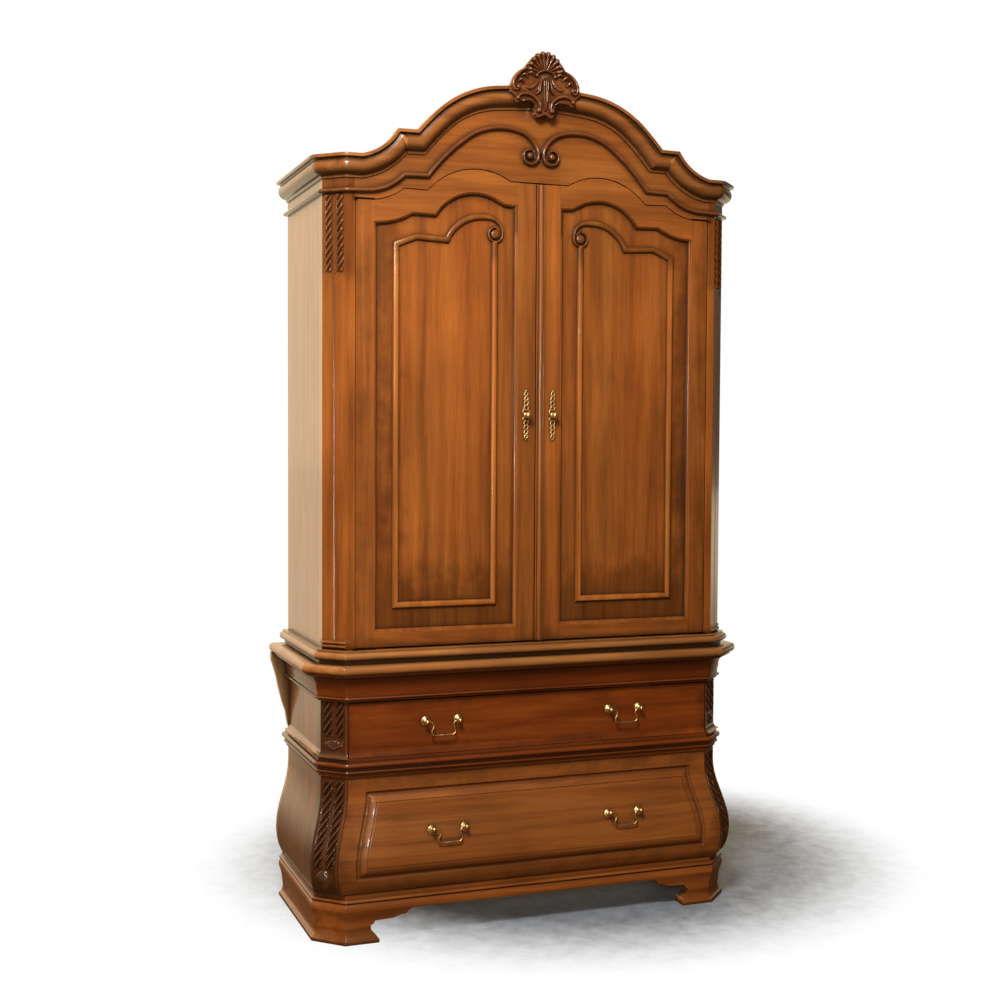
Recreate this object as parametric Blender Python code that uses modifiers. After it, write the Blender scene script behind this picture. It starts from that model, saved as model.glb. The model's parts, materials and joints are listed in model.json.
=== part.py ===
"""Armoire: a two-door press cabinet standing on a two-drawer bombe chest.

Metres, +Z up, front towards -Y. The origin is on the floor, in the middle of the
object's width and depth. A depth d is measured forwards from the back plane.
Left and right are the viewer's: +X is the right.
"""
import math

import bmesh
import bpy
from mathutils import Matrix, Vector

# ---------------------------------------------------------------- general
OVERALL_DEPTH = 0.512            # back plane to the front of the carved crest
BACK_Y = OVERALL_DEPTH / 2
GAP = 0.0003                     # daylight between pieces that touch
NOTCH_ROOM = 0.001               # daylight where a board passes behind a post
ARC_STEPS = 6
CANT_GROWTH = 2 - math.sqrt(2)   # growth of a 45 degree corner for each unit of offset

# ---------------------------------------------------------------- upper case
HALF_WIDTH = 0.585
UPPER_DEPTH = 0.467
UPPER_CANT = 0.052
UPPER_Z0 = 0.7743
UPPER_Z1 = 2.045
SIDE_THICKNESS = 0.018
POST_BACK = 0.375                # depth where the side panel ends and the post starts
POST_INNER = 0.5115              # half the clear width between the posts
POST_REBATE = 0.440              # depth behind which the post narrows
POST_BACK_WIDTH = 0.025          # width of the post's back face
BACK_BOARD_D = (0.004, 0.014)
BOARD_START = BACK_BOARD_D[1] + 0.0005
TOP_BOARD_Z = (2.026, 2.0445)
TOP_BOARD_FRONT = 0.4434         # just behind the closed doors
SHELF_HEIGHTS = {"shelf_lower": 1.170, "shelf_upper": 1.560}
SHELF_THICKNESS = 0.018
SHELF_FRONT = 0.435
PEDIMENT_D = (0.447, UPPER_DEPTH)
PEDIMENT_DROP = 0.005            # top of the board below the top of the cornice

# Top edge of the pediment cornice, from the middle outwards: x, z and sagitta.
CROWN_TOP = [
    (0.0, 2.2605), (0.130, 2.2525, 0.0015), (0.300, 2.175, 0.016), (0.352, 2.121, 0.001),
    (0.405, 2.1205), (0.500, 2.050, -0.0125),
]
CROWN_Z = 2.050
# Cornice moulding: projection from the case and drop from its top edge.
CROWN_PROFILE = [
    (GAP, 0.0), (0.032, 0.0), (0.032, 0.009), (0.0235, 0.010), (0.022, 0.0135),
    (0.025, 0.018), (0.027, 0.025), (0.0265, 0.033), (0.023, 0.041), (0.0155, 0.0465),
    (0.0095, 0.049), (0.006, 0.053), (0.004, 0.058), (GAP, 0.058),
]
# Scrolled bead under the cornice: its top edge from the volute outwards.
BEAD_TOP = [
    (0.0015, 2.092), (0.0605, 2.1495, 0.011), (0.202, 2.1285, 0.0145),
    (0.320, 2.015, 0.0065), (0.3845, 2.0135), (0.470, 1.9685, -0.0085),
]
BEAD_Z = 1.9655
BEAD_PROFILE = [
    (GAP, 0.0), (0.007, 0.0), (0.0115, 0.002), (0.013, 0.0055),
    (0.0115, 0.009), (0.007, 0.0115), (GAP, 0.012),
]
VOLUTE_CENTRE = (0.0315, 2.081)
VOLUTE_RADII = (0.0305, 0.0205)  # outer edge at the start and at the end of the turn
VOLUTE_ANGLES = (180, 430)       # degrees
VOLUTE_STEPS = 16
VOLUTE_EYE = 0.0105

# Carved crest: half outline from the top, clockwise.
CREST_HALF = [
    (0.0, 2.3535), (0.0245, 2.3455, 0.002), (0.0425, 2.331, 0.002), (0.053, 2.3195, 0.0015),
    (0.0625, 2.302, 0.002), (0.0795, 2.2895, 0.0015), (0.0925, 2.2735, 0.002),
    (0.103, 2.258, 0.001), (0.0965, 2.2355, 0.005), (0.088, 2.228), (0.0885, 2.2145, 0.003),
    (0.0715, 2.2125, 0.003), (0.0515, 2.222, -0.002), (0.033, 2.2185), (0.0305, 2.196),
    (0.0265, 2.181, 0.003), (0.0145, 2.177, 0.003), (0.0, 2.184),
]
CREST_D = (0.4803, OVERALL_DEPTH)
CREST_BLOCK_D = (UPPER_DEPTH + GAP, 0.482)
CREST_BLOCK_Z = (2.182, 2.2015)
CREST_BLOCK_HALF = 0.026
CREST_CLEARANCE = 0.0004

# ---------------------------------------------------------------- doors
DOOR_D = (0.444, 0.466)
DOOR_Z0 = 0.7775
DOOR_OUTER = 0.5095
DOOR_MEETING = {"right": -0.0075, "left": 0.0095}  # distance from the middle, own side positive
# Upper edge of the doors, from the middle outwards.
DOOR_TOP = [
    (0.083, 2.009), (0.112, 2.0235), (0.309, 1.9775, 0.031), (0.3175, 1.9715),
    (0.379, 1.973), (0.463, 1.9385, -0.0065),
]
DOOR_TOP_MIDDLE = 2.0085
DOOR_TOP_OUTER = 1.9395
HEADER_GAP = 0.0025
# Opening of a door frame, from its lower inner corner, clockwise.
OPENING = [
    (0.0705, 0.825), (0.0705, 1.942), (0.098, 1.9425), (0.120, 1.9535), (0.290, 1.9055, 0.036),
    (0.3555, 1.907), (0.430, 1.880, -0.004), (0.4525, 1.8775), (0.4525, 0.825),
]
REBATE_WIDTH = 0.008
REBATE_FRONT = 0.4553
PANEL_D = (0.447, 0.455)
# Applied moulding on the door panel, both edges clockwise from the lower inner corner.
MOULDING_D = (PANEL_D[1] + GAP, 0.463)
MOULDING_OUTER = [
    (0.1125, 0.874), (0.1125, 1.848), (0.0985, 1.868, 0.003), (0.160, 1.9285, 0.020),
    (0.265, 1.861, 0.0185), (0.349, 1.865), (0.4115, 1.840), (0.4115, 0.874),
]
MOULDING_INNER = [
    (0.136, 0.896), (0.136, 1.8475), (0.1485, 1.869, -0.003), (0.140, 1.891, -0.003),
    (0.167, 1.9045, 0.002), (0.2565, 1.835, 0.0165), (0.339, 1.840), (0.388, 1.821),
    (0.388, 0.896),
]
ASTRAGAL_X = (-0.0075, 0.016)
ASTRAGAL_Z = (0.778, 2.006)
ASTRAGAL_PROUD = 0.009

# Knife hinges at the top and bottom outer corners of the doors.
PIVOT_X = POST_INNER
PIVOT_D = 0.4715
LEAF_THICKNESS = 0.002
LEAF_EYE = 0.0041
LEAF_BAR_D = (0.4515, 0.4615)
LEAF_INNER_X = 0.458
LEAF_CORNER_X = POST_INNER - 0.0012
LEAF_SLANT = 0.008               # run of the slanted edge from the bar to the eye
LEAF_NOSE_D = UPPER_DEPTH + 0.0006
MORTISE_REACH = (POST_INNER + 0.01, UPPER_DEPTH + 0.03)
PIN_RADIUS = 0.0012
PIN_HOLE = 0.0016
CABINET_BASE_TOP = 0.774
HINGE_MIDDLE_Z = {
    "upper": DOOR_TOP_OUTER + HEADER_GAP / 2,
    "lower": (CABINET_BASE_TOP + DOOR_Z0) / 2,
}

# Door pulls: a pierced plate and a knob.
PLATE_X = {"right": 0.0415, "left": -0.036}
PLATE_Z = 1.3885
PLATE_THICKNESS = 0.002
LINK_START = 0.018
LINK_PITCH = 0.013
LINK_COUNT = 4
LINK_HOLE = 0.0036
PLATE_WAVE = (0.0068, 0.0016)    # mean half width and its swing between the links
PLATE_MIDDLE = 0.0100
# Knob, radius and distance in front of the plate, from the tip back.
KNOB_PROFILE = [
    (0.0, 0.0265), (0.005, 0.0258), (0.0085, 0.0225), (0.0095, 0.0185), (0.0085, 0.0150),
    (0.005, 0.012), (0.004, 0.009), (0.0045, 0.005), (0.007, 0.003), (0.0075, GAP),
    (0.0, GAP),
]

# ---------------------------------------------------------------- chest
CHEST_DEPTH = 0.455
CHEST_CANT = 0.057
CHEST_Z0 = 0.1316
CHEST_Z1 = 0.7117
BULGE = 0.036                    # swell of the bombe part, on the front and both sides
BULGE_TOP = 0.400
BULGE_WIDEST = 0.205
BULGE_TUCK = 0.090
CHEST_SIDE_THICKNESS = 0.020
CHEST_SIDE_D = (0.0183, 0.3597)
CHEST_POST_BACK = 0.360
CHEST_POST_INNER = 0.5265        # clear half width between the posts above the swell
CHEST_POST_REBATE = (0.022, 0.015)  # width of the post's back face and length of its slant
FLARE = 0.015                    # cove above the middle belt
FLARE_Z = (0.4872, 0.505)
BELT_Z = (0.437, 0.4868)
# Mouldings that wrap the chest: projection and height.
BELT_PROFILE = [
    (GAP, 0.437), (0.005, 0.437), (0.006, 0.445), (0.011, 0.447), (0.0125, 0.4505),
    (0.011, 0.4545), (0.010, 0.4565), (0.010, 0.461), (0.016, 0.463), (0.0185, 0.469),
    (0.016, 0.4755), (0.009, 0.4775), (0.008, BELT_Z[1]), (GAP, BELT_Z[1]),
]
COVE_Z = (0.636, 0.7115)
COVE_BEAD = [(GAP, 0.636), (0.010, 0.636), (0.0135, 0.640), (0.0135, 0.651), (0.011, 0.6545)]
COVE_FASCIA = 0.014
COVE_START = 0.672
COVE_RADII = (0.032, 0.040)      # sideways and upwards
COVE_FILLET_Z = 0.706
COVE_FILLET_SET = 0.001          # step back and up from the cove to its top fillet
COVE_RAIL_Z = (0.637, 0.711)
COVE_RAIL_REACH = 0.003          # how far the rail runs into the moulding
COVE_STEPS = 6
# Slabs: height and projection.
WAIST_LEVELS = [
    (0.712, 0.048), (0.7155, 0.052), (0.724, 0.054), (0.7325, 0.052), (0.736, 0.048),
]
CABINET_BASE_LEVELS = [
    (0.7366, 0.010), (0.746, 0.010), (0.7475, 0.0205), (0.752, 0.0235), (0.758, 0.0245),
    (0.764, 0.0235), (0.7675, 0.0205), (0.7685, 0.015), (CABINET_BASE_TOP, 0.015),
]
CHEST_BASE_LEVELS = [
    (0.1073, 0.022), (0.1095, 0.0255), (0.113, 0.0265), (0.1165, 0.0255), (0.119, 0.0215),
    (0.1205, 0.018), (0.1310, 0.018),
]
BRACKET_LEVELS = [
    (0.0, 0.026), (0.002, 0.028), (0.009, 0.028), (0.012, 0.025), (0.014, 0.0215),
    (0.026, 0.019), (0.040, 0.018), (0.055, 0.0205), (0.070, 0.0245), (0.085, 0.027),
    (0.098, 0.0265), (0.107, 0.024),
]
BRACKET_WALL = 0.022             # thickness behind the case's own line
# Lower edge of the front apron and foot: half outline, from the middle outwards.
APRON_EDGE = [
    (0.0, 0.084), (0.350, 0.084), (0.372, 0.067, 0.003), (0.404, 0.0595, 0.002),
    (0.457, 0.057), (0.468, 0.046, -0.003), (0.467, 0.030), (0.452, 0.013, -0.002),
    (0.447, 0.010), (0.447, -0.010),
]
CHEST_BACK_D = (0.0, 0.018)
# Edge of the back board beside the waist: half width and height.
BACK_WINGS = [
    (0.585, 0.4872), (0.590, 0.503), (0.596, 0.539), (0.606, 0.568), (0.615, 0.604),
    (0.623, 0.642), (0.638, 0.692), (0.638, 0.7115),
]
DIVIDER_Z = (0.467, 0.4864)
DIVIDER_FRONT = 0.4540
DIVIDER_RAIL_D = (0.4347, 0.4547)
DIVIDER_RAIL_Z = (0.440, 0.4868)
DIVIDER_HALF = 0.5252
RAIL_HALF = 0.5255

# ---------------------------------------------------------------- drawers
DRAWER_BACK = 0.030
DRAWER_BOX_HALF = 0.5225
DRAWER_WALL = 0.012
DRAWER_BOTTOM = 0.008
UPPER_DRAWER_Z = (0.4885, 0.6315)
UPPER_DRAWER_HALF = 0.524
UPPER_DRAWER_BACK = 0.435
UPPER_BOX_Z = (0.4874, 0.620)    # clear of the middle belt when it slides out
LOWER_DRAWER_Z = (0.134, 0.4355)
LOWER_DRAWER_HALF = 0.525        # above the swell
LOWER_DRAWER_BACK = 0.433
LOWER_BOX_Z = (0.1325, 0.400)
PANEL_INSET = 0.048
PANEL_Z = (0.169, 0.396)
# Raised panel: distance inside its edge and height above the drawer face.
PANEL_RISE = [(0.0, 0.0), (0.003, -0.003), (0.009, -0.003), (0.036, 0.0045)]

# ---------------------------------------------------------------- bail pulls
PULL_X = {"upper": 0.268, "lower": 0.257}
PULL_Z = {"upper": 0.573, "lower": 0.286}
POST_SPACING = 0.092
# Post with rosette, radius and distance in front of the drawer, from the tip back.
PULL_POST_PROFILE = [
    (0.0, 0.0265), (0.0035, 0.0256), (0.0061, 0.0230), (0.007, 0.0195), (0.0061, 0.0160),
    (0.0042, 0.0136), (0.0035, 0.0110), (0.004, 0.0085), (0.0075, 0.0065), (0.0118, 0.0045),
    (0.0135, 0.002), (0.0135, GAP), (0.0, GAP),
]
HEAD_REACH = 0.0195              # drawer face to the bail's axis
BAIL_RADIUS = 0.0025
BAIL_HOLE = 0.0029
BAIL_HOLE_END = 0.0445           # half distance between the blind ends of the holes
# Half of the bail, from the pin to the middle of the grip: sideways and up.
BAIL_HALF = [
    (0.0438, 0.0), (0.036, 0.0), (0.0312, -0.002), (0.028, -0.008), (0.0293, -0.016),
    (0.033, -0.024), (0.0322, -0.0308), (0.028, -0.0352), (0.021, -0.0365), (0.010, -0.0368),
]
ROUND_STEPS = 12

FINISHES = {                     # colour, roughness, metallic
    "cherry": ((0.330, 0.092, 0.026, 1), 0.30, 0.0),
    "dark_cherry": ((0.170, 0.045, 0.014, 1), 0.34, 0.0),
    "inside_wood": ((0.420, 0.260, 0.130, 1), 0.60, 0.0),
    "brass": ((0.560, 0.370, 0.130, 1), 0.32, 1.0),
}
PARTS = "armoire"
CUTTERS = "cutters"


# ---------------------------------------------------------------- scene helpers
def start_scene():
    """Empty the scene and make the two collections."""
    for thing in list(bpy.data.objects):
        bpy.data.objects.remove(thing, do_unlink=True)
    for name in (PARTS, CUTTERS):
        collection = bpy.data.collections.new(name)
        bpy.context.scene.collection.children.link(collection)


def material_for(name, finish):
    """Principled material of one object."""
    colour, roughness, metallic = FINISHES[finish]
    material = bpy.data.materials.new(f"{name}_{finish}")
    material.use_nodes = True
    shader = material.node_tree.nodes["Principled BSDF"]
    shader.inputs["Base Color"].default_value = colour
    shader.inputs["Roughness"].default_value = roughness
    shader.inputs["Metallic"].default_value = metallic
    material.diffuse_color = colour
    return material


def add_part(name, mesh, finish):
    """Object of its own for a finished mesh."""
    part = bpy.data.objects.new(name, mesh)
    bpy.data.collections[PARTS].objects.link(part)
    mesh.materials.clear()
    mesh.materials.append(material_for(name, finish))
    return part


def move_to_cutters(thing):
    """Keep an object only as the tool of a Boolean."""
    bpy.data.collections[PARTS].objects.unlink(thing)
    bpy.data.collections[CUTTERS].objects.link(thing)
    thing.hide_render = True
    thing.display_type = "WIRE"


def boolean(target, tool, operation):
    """Cut target with tool, or join tool to it."""
    modifier = target.modifiers.new(f"{operation.lower()}_{tool.name}", "BOOLEAN")
    modifier.operation = operation
    modifier.solver = "EXACT"
    modifier.object = tool
    move_to_cutters(tool)


def evaluated_mesh(thing):
    """Welded mesh of an object with its modifiers, in world coordinates."""
    bpy.context.view_layer.update()
    graph = bpy.context.evaluated_depsgraph_get()
    mesh = bpy.data.meshes.new_from_object(thing.evaluated_get(graph))
    mesh.transform(thing.matrix_world)
    work = bmesh.new()
    work.from_mesh(mesh)
    bmesh.ops.remove_doubles(work, verts=work.verts, dist=1e-6)
    bmesh.ops.recalc_face_normals(work, faces=work.faces)
    work.to_mesh(mesh)
    work.free()
    return mesh


def mirrored(part, name, finish):
    """Copy of a finished part on the other side of the middle plane."""
    mesh = evaluated_mesh(part)
    mesh.transform(Matrix.Scale(-1, 4, Vector((1, 0, 0))))
    mesh.flip_normals()
    return add_part(name, mesh, finish)


def shade_round(part, degrees=40):
    """Smooth shading with sharp creases kept."""
    part.data.shade_smooth()
    part.data.set_sharp_from_angle(angle=math.radians(degrees))


def at(x, d, z):
    """World point at depth d in front of the back plane."""
    return Vector((x, BACK_Y - d, z))


# ---------------------------------------------------------------- outline helpers
def arc_between(start, end, sagitta):
    """Points strictly between start and end on an arc that bows to the left of travel."""
    half = (end - start).length / 2
    radius = (half * half + sagitta * sagitta) / (2 * sagitta)
    left = Vector((start.y - end.y, end.x - start.x)).normalized()
    centre = (start + end) / 2 + left * (sagitta - radius)
    turn = -math.copysign(2 * math.asin(half / abs(radius)), sagitta)
    spoke = start - centre
    points = []
    for step in range(1, ARC_STEPS):
        angle = turn * step / ARC_STEPS
        cosine, sine = math.cos(angle), math.sin(angle)
        turned_spoke = Vector((
            spoke.x * cosine - spoke.y * sine,
            spoke.x * sine + spoke.y * cosine,
        ))
        points.append(centre + turned_spoke)
    return points


def path_points(entries):
    """Points through (u, v) corners; a third number bows the stretch that ends there."""
    points = [Vector(entries[0][:2])]
    for entry in entries[1:]:
        end = Vector(entry[:2])
        if len(entry) == 3:
            points += arc_between(points[-1], end, entry[2])
        points.append(end)
    return points


def mirror_outline(half):
    """Closed outline from a half that starts and ends on the middle line."""
    other_side = [Vector((-point.x, point.y)) for point in reversed(half[1:-1])]
    return half + other_side


def offset_outline(points, distance):
    """Closed clockwise outline moved outwards by distance, with mitred corners."""
    moved = []
    for index, point in enumerate(points):
        before = (point - points[index - 1]).normalized()
        after = (points[(index + 1) % len(points)] - point).normalized()
        left_before = Vector((-before.y, before.x))
        left_after = Vector((-after.y, after.x))
        mitre = (left_before + left_after) / (1 + left_before.dot(left_after))
        moved.append(point + mitre * distance)
    return moved


def flat_curve(outlines, thickness):
    """Mesh of flat outlines, the later ones holes, thickened about z = 0."""
    curve = bpy.data.curves.new("outline", "CURVE")
    curve.dimensions = "2D"
    curve.fill_mode = "BOTH"
    curve.extrude = thickness / 2
    for outline in outlines:
        spline = curve.splines.new("POLY")
        spline.points.add(len(outline) - 1)
        for target, point in zip(spline.points, outline):
            target.co = (point[0], point[1], 0, 1)
        spline.use_cyclic_u = True
    holder = bpy.data.objects.new("outline", curve)
    bpy.context.scene.collection.objects.link(holder)
    mesh = evaluated_mesh(holder)
    bpy.data.objects.remove(holder, do_unlink=True)
    bpy.data.curves.remove(curve)
    return mesh


def upright_board(name, finish, outlines, depths):
    """Board whose outlines are drawn in x and z, between two depths."""
    mesh = flat_curve(outlines, depths[1] - depths[0])
    middle = at(0, sum(depths) / 2, 0)
    mesh.transform(Matrix.Translation(middle) @ Matrix.Rotation(math.radians(90), 4, "X"))
    return add_part(name, mesh, finish)


def level_board(name, finish, outlines, heights):
    """Board whose outlines are drawn in x and depth, between two heights."""
    outlines = [[(x, BACK_Y - d) for x, d in outline] for outline in outlines]
    mesh = flat_curve(outlines, heights[1] - heights[0])
    mesh.transform(Matrix.Translation((0, 0, sum(heights) / 2)))
    return add_part(name, mesh, finish)


def symmetric_level_board(name, finish, right_edge, heights):
    """Level board from the (x, d) points of its right edge, back to front."""
    left_edge = [(-x, d) for x, d in reversed(right_edge)]
    return level_board(name, finish, [right_edge + left_edge], heights)


def box(name, finish, x_range, d_range, z_range):
    """Plain block between two x, two depths and two heights."""
    low = at(x_range[0], d_range[1], z_range[0])
    high = at(x_range[1], d_range[0], z_range[1])
    work = bmesh.new()
    bmesh.ops.create_cube(work, size=1)
    size = Matrix.Diagonal((*(high - low), 1))
    work.transform(Matrix.Translation((low + high) / 2) @ size)
    mesh = bpy.data.meshes.new(name)
    work.to_mesh(mesh)
    work.free()
    return add_part(name, mesh, finish)


def lofted(name, finish, rings):
    """Solid through rings of equally many points, capped at both ends."""
    work = bmesh.new()
    rows = [[work.verts.new(point) for point in ring] for ring in rings]
    count = len(rows[0])
    for row, following in zip(rows, rows[1:]):
        for index in range(count):
            beside = (index + 1) % count
            work.faces.new((row[index], row[beside], following[beside], following[index]))
    work.faces.new(reversed(rows[0]))
    work.faces.new(rows[-1])
    bmesh.ops.recalc_face_normals(work, faces=work.faces)
    mesh = bpy.data.meshes.new(name)
    work.to_mesh(mesh)
    work.free()
    return add_part(name, mesh, finish)


def mitred(direction, tangent, plane):
    """Direction slid along the tangent onto the mitre plane."""
    return direction - tangent * (direction.dot(plane) / tangent.dot(plane))


def swept(name, finish, points, outs, profile):
    """Moulding: the (out, down) profile carried along the points with mitred joints."""
    tangents = [(end - start).normalized() for start, end in zip(points, points[1:])]
    rings = []
    for index, point in enumerate(points):
        segment = max(index - 1, 0)
        before = tangents[segment]
        after = tangents[min(index, len(tangents) - 1)]
        out = mitred(outs[segment], before, before + after)
        down = mitred(before.cross(outs[segment]), before, before + after)
        rings.append([point + out * a + down * b for a, b in profile])
    return lofted(name, finish, rings)


def turned(name, finish, profile, steps=ROUND_STEPS):
    """Solid of revolution about +Z from (radius, height) points, tip first."""
    mesh = bpy.data.meshes.new(name)
    edges = [(index, index + 1) for index in range(len(profile) - 1)]
    mesh.from_pydata([(radius, 0, height) for radius, height in profile], edges, [])
    part = add_part(name, mesh, finish)
    screw = part.modifiers.new("turn", "SCREW")
    screw.axis = "Z"
    screw.steps = steps
    screw.render_steps = steps
    screw.use_merge_vertices = True
    screw.merge_threshold = 0.00001
    return part


# ---------------------------------------------------------------- plan of the cases
def case_corners(depth, cant, offset=0.0):
    """The two corners of the canted face on the right, back one first."""
    width = HALF_WIDTH + offset
    front = depth + offset
    corner = cant + CANT_GROWTH * offset
    return (width, front - corner), (width - corner, front)


def wrap_path(depth, cant, z, front=(), back=0.0):
    """Points and outward directions round a case, from back left to back right."""
    (side_x, side_d), (front_x, front_d) = case_corners(depth, cant)
    right = [at(front_x, front_d, z), at(side_x, side_d, z), at(side_x, back, z)]
    left = [Vector((-point.x, point.y, point.z)) for point in reversed(right)]
    middle = [at(u, front_d, v) for u, v in front]
    slant = math.sqrt(0.5)
    outs = [Vector((-1, 0, 0)), Vector((-slant, -slant, 0))]
    outs += [Vector((0, -1, 0))] * (len(middle) + 1)
    outs += [Vector((slant, -slant, 0)), Vector((1, 0, 0))]
    return left + middle + right, outs


def moulded_slab(name, finish, depth, cant, levels, back=0.0):
    """Level board whose edge follows (height, projection) levels on three sides."""
    rings = []
    for z, offset in levels:
        (side_x, side_d), (front_x, front_d) = case_corners(depth, cant, offset)
        right = [(side_x, back), (side_x, side_d), (front_x, front_d)]
        left = [(-x, d) for x, d in reversed(right)]
        rings.append([at(x, d, z) for x, d in right + left])
    return lofted(name, finish, rings)


def bulge(z):
    """Swell of the bombe chest at a height."""
    if z >= BULGE_TOP:
        return 0.0
    if z >= BULGE_WIDEST:
        turn = math.pi * (BULGE_TOP - z) / (BULGE_TOP - BULGE_WIDEST)
        return BULGE * (1 - math.cos(turn)) / 2
    drop = (BULGE_WIDEST - z) / BULGE_TUCK
    return BULGE * math.sqrt(1 - drop * drop)


def flare(z):
    """Cove that spreads the chest just above the middle belt."""
    low, high = FLARE_Z
    if not low <= z <= high:
        return 0.0
    drop = (high - z) / (high - low)
    return FLARE * (1 - math.sqrt(1 - drop * drop))


def between(low, high, steps):
    """Evenly spaced heights, both ends included."""
    return [low + (high - low) * step / steps for step in range(steps + 1)]


def chest_levels():
    """Heights that describe the chest's swell and flare."""
    tuck = between(CHEST_Z0, BULGE_WIDEST, 4)
    shoulder = between(BULGE_WIDEST, BULGE_TOP, 8)[1:]
    cove = [FLARE_Z[0] - 0.0002, *between(*FLARE_Z, 5)]
    return tuck + shoulder + cove + [CHEST_Z1]


# ---------------------------------------------------------------- upper case parts
def post_notch_outline(front):
    """Right edge of a board that reaches both sides and passes behind the posts."""
    side_x = HALF_WIDTH - SIDE_THICKNESS - GAP
    notch_x = HALF_WIDTH - POST_BACK_WIDTH - NOTCH_ROOM
    points = [
        (side_x, BOARD_START), (side_x, POST_BACK - 3 * NOTCH_ROOM / 2),
        (notch_x, POST_BACK - NOTCH_ROOM / 2),
    ]
    if front > POST_REBATE:
        inner = POST_INNER - NOTCH_ROOM
        return points + [(inner, POST_REBATE - NOTCH_ROOM / 2), (inner, front)]
    return points + [(POST_INNER + 5 * NOTCH_ROOM / 2, front)]


def make_upper_case():
    """Sides, posts, boards and back of the cabinet."""
    heights = (UPPER_Z0, UPPER_Z1)
    side_x = (HALF_WIDTH - SIDE_THICKNESS, HALF_WIDTH)
    side = box("cabinet_side_right", "cherry", side_x, (0.0, POST_BACK - GAP), heights)
    mirrored(side, "cabinet_side_left", "cherry")

    back_corner, front_corner = case_corners(UPPER_DEPTH, UPPER_CANT)
    section = [
        (HALF_WIDTH, POST_BACK), back_corner, front_corner, (POST_INNER, UPPER_DEPTH),
        (POST_INNER, POST_REBATE), (HALF_WIDTH - POST_BACK_WIDTH, POST_BACK),
    ]
    post = level_board("cabinet_post_right", "cherry", [section], heights)
    mirrored(post, "cabinet_post_left", "cherry")

    top_outline = post_notch_outline(TOP_BOARD_FRONT)
    symmetric_level_board("cabinet_top", "inside_wood", top_outline, TOP_BOARD_Z)
    shelf_outline = post_notch_outline(SHELF_FRONT)
    for name, height in SHELF_HEIGHTS.items():
        thickness = (height, height + SHELF_THICKNESS)
        symmetric_level_board(name, "inside_wood", shelf_outline, thickness)
    back_half = HALF_WIDTH - SIDE_THICKNESS - GAP
    back_heights = (UPPER_Z0, TOP_BOARD_Z[1])
    back_x = (-back_half, back_half)
    box("cabinet_back", "inside_wood", back_x, BACK_BOARD_D, back_heights)
    return moulded_slab(
        "cabinet_base", "cherry", UPPER_DEPTH, UPPER_CANT, CABINET_BASE_LEVELS)


def door_top_points(outer_x):
    """Upper edge of the doors from their level middle stretch out to outer_x."""
    return path_points(DOOR_TOP + [(outer_x, DOOR_TOP_OUTER)])


def make_pediment():
    """Board above the doors, with the arched lower edge and the bonnet top."""
    outer = POST_INNER - GAP
    top = [point - Vector((0, PEDIMENT_DROP)) for point in path_points(CROWN_TOP)]
    top.append(Vector((outer, UPPER_Z1)))
    bottom = [point + Vector((0, HEADER_GAP)) for point in door_top_points(outer)]
    right = top + bottom[::-1]
    outline = right + [Vector((-point.x, point.y)) for point in reversed(right[1:])]
    return upright_board("pediment_board", "cherry", [outline], PEDIMENT_D)


def crest_outline():
    """Whole outline of the carved crest."""
    return mirror_outline(path_points(CREST_HALF))


def make_crown():
    """Cornice moulding round the cabinet, pocketed for the crest."""
    half = path_points(CROWN_TOP)
    front = [Vector((-point.x, point.y)) for point in reversed(half[1:])] + half
    points, outs = wrap_path(UPPER_DEPTH, UPPER_CANT, CROWN_Z, front)
    crown = swept("crown", "cherry", points, outs, CROWN_PROFILE)
    pocket_outline = offset_outline(crest_outline(), CREST_CLEARANCE)
    pocket_d = (CREST_D[0] - CREST_CLEARANCE, OVERALL_DEPTH + 0.01)
    pocket = upright_board("crest_pocket", "cherry", [pocket_outline], pocket_d)
    boolean(crown, pocket, "DIFFERENCE")
    return crown


def make_crest():
    """Carved shell crest: a plain plaque of its outline, with the block behind it."""
    crest = upright_board("shell_crest", "dark_cherry", [crest_outline()], CREST_D)
    block_x = (-CREST_BLOCK_HALF, CREST_BLOCK_HALF)
    block = box("crest_block", "dark_cherry", block_x, CREST_BLOCK_D, CREST_BLOCK_Z)
    boolean(crest, block, "UNION")
    return crest


def volute_points():
    """Outer edge of the bead's volute, from its inner end to where the bead leaves it."""
    points = []
    for step in range(VOLUTE_STEPS, 0, -1):
        part_turn = step / VOLUTE_STEPS
        angle = VOLUTE_ANGLES[0] + part_turn * (VOLUTE_ANGLES[1] - VOLUTE_ANGLES[0])
        radius = VOLUTE_RADII[0] + part_turn * (VOLUTE_RADII[1] - VOLUTE_RADII[0])
        direction = Vector((math.cos(math.radians(angle)), math.sin(math.radians(angle))))
        points.append(Vector(VOLUTE_CENTRE) + direction * radius)
    return points


def make_scroll_beads():
    """Bead that runs along the side, up the pediment and into a volute."""
    front = volute_points() + path_points(BEAD_TOP)
    (side_x, side_d), (front_x, front_d) = case_corners(UPPER_DEPTH, UPPER_CANT)
    points = [at(point.x, front_d, point.y) for point in front]
    points += [at(front_x, front_d, BEAD_Z), at(side_x, side_d, BEAD_Z), at(side_x, 0, BEAD_Z)]
    slant = math.sqrt(0.5)
    outs = [Vector((0, -1, 0))] * len(front)
    outs += [Vector((slant, -slant, 0)), Vector((1, 0, 0))]
    bead = swept("scroll_bead_right", "cherry", points, outs, BEAD_PROFILE)
    eye = turned("bead_eye", "cherry", [(0, 0.012), (VOLUTE_EYE, 0.012), (VOLUTE_EYE, 0), (0, 0)])
    eye.location = at(VOLUTE_CENTRE[0], UPPER_DEPTH + GAP, VOLUTE_CENTRE[1])
    eye.rotation_euler = (math.radians(90), 0, 0)
    boolean(bead, eye, "UNION")
    mirrored(bead, "scroll_bead_left", "cherry")


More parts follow.
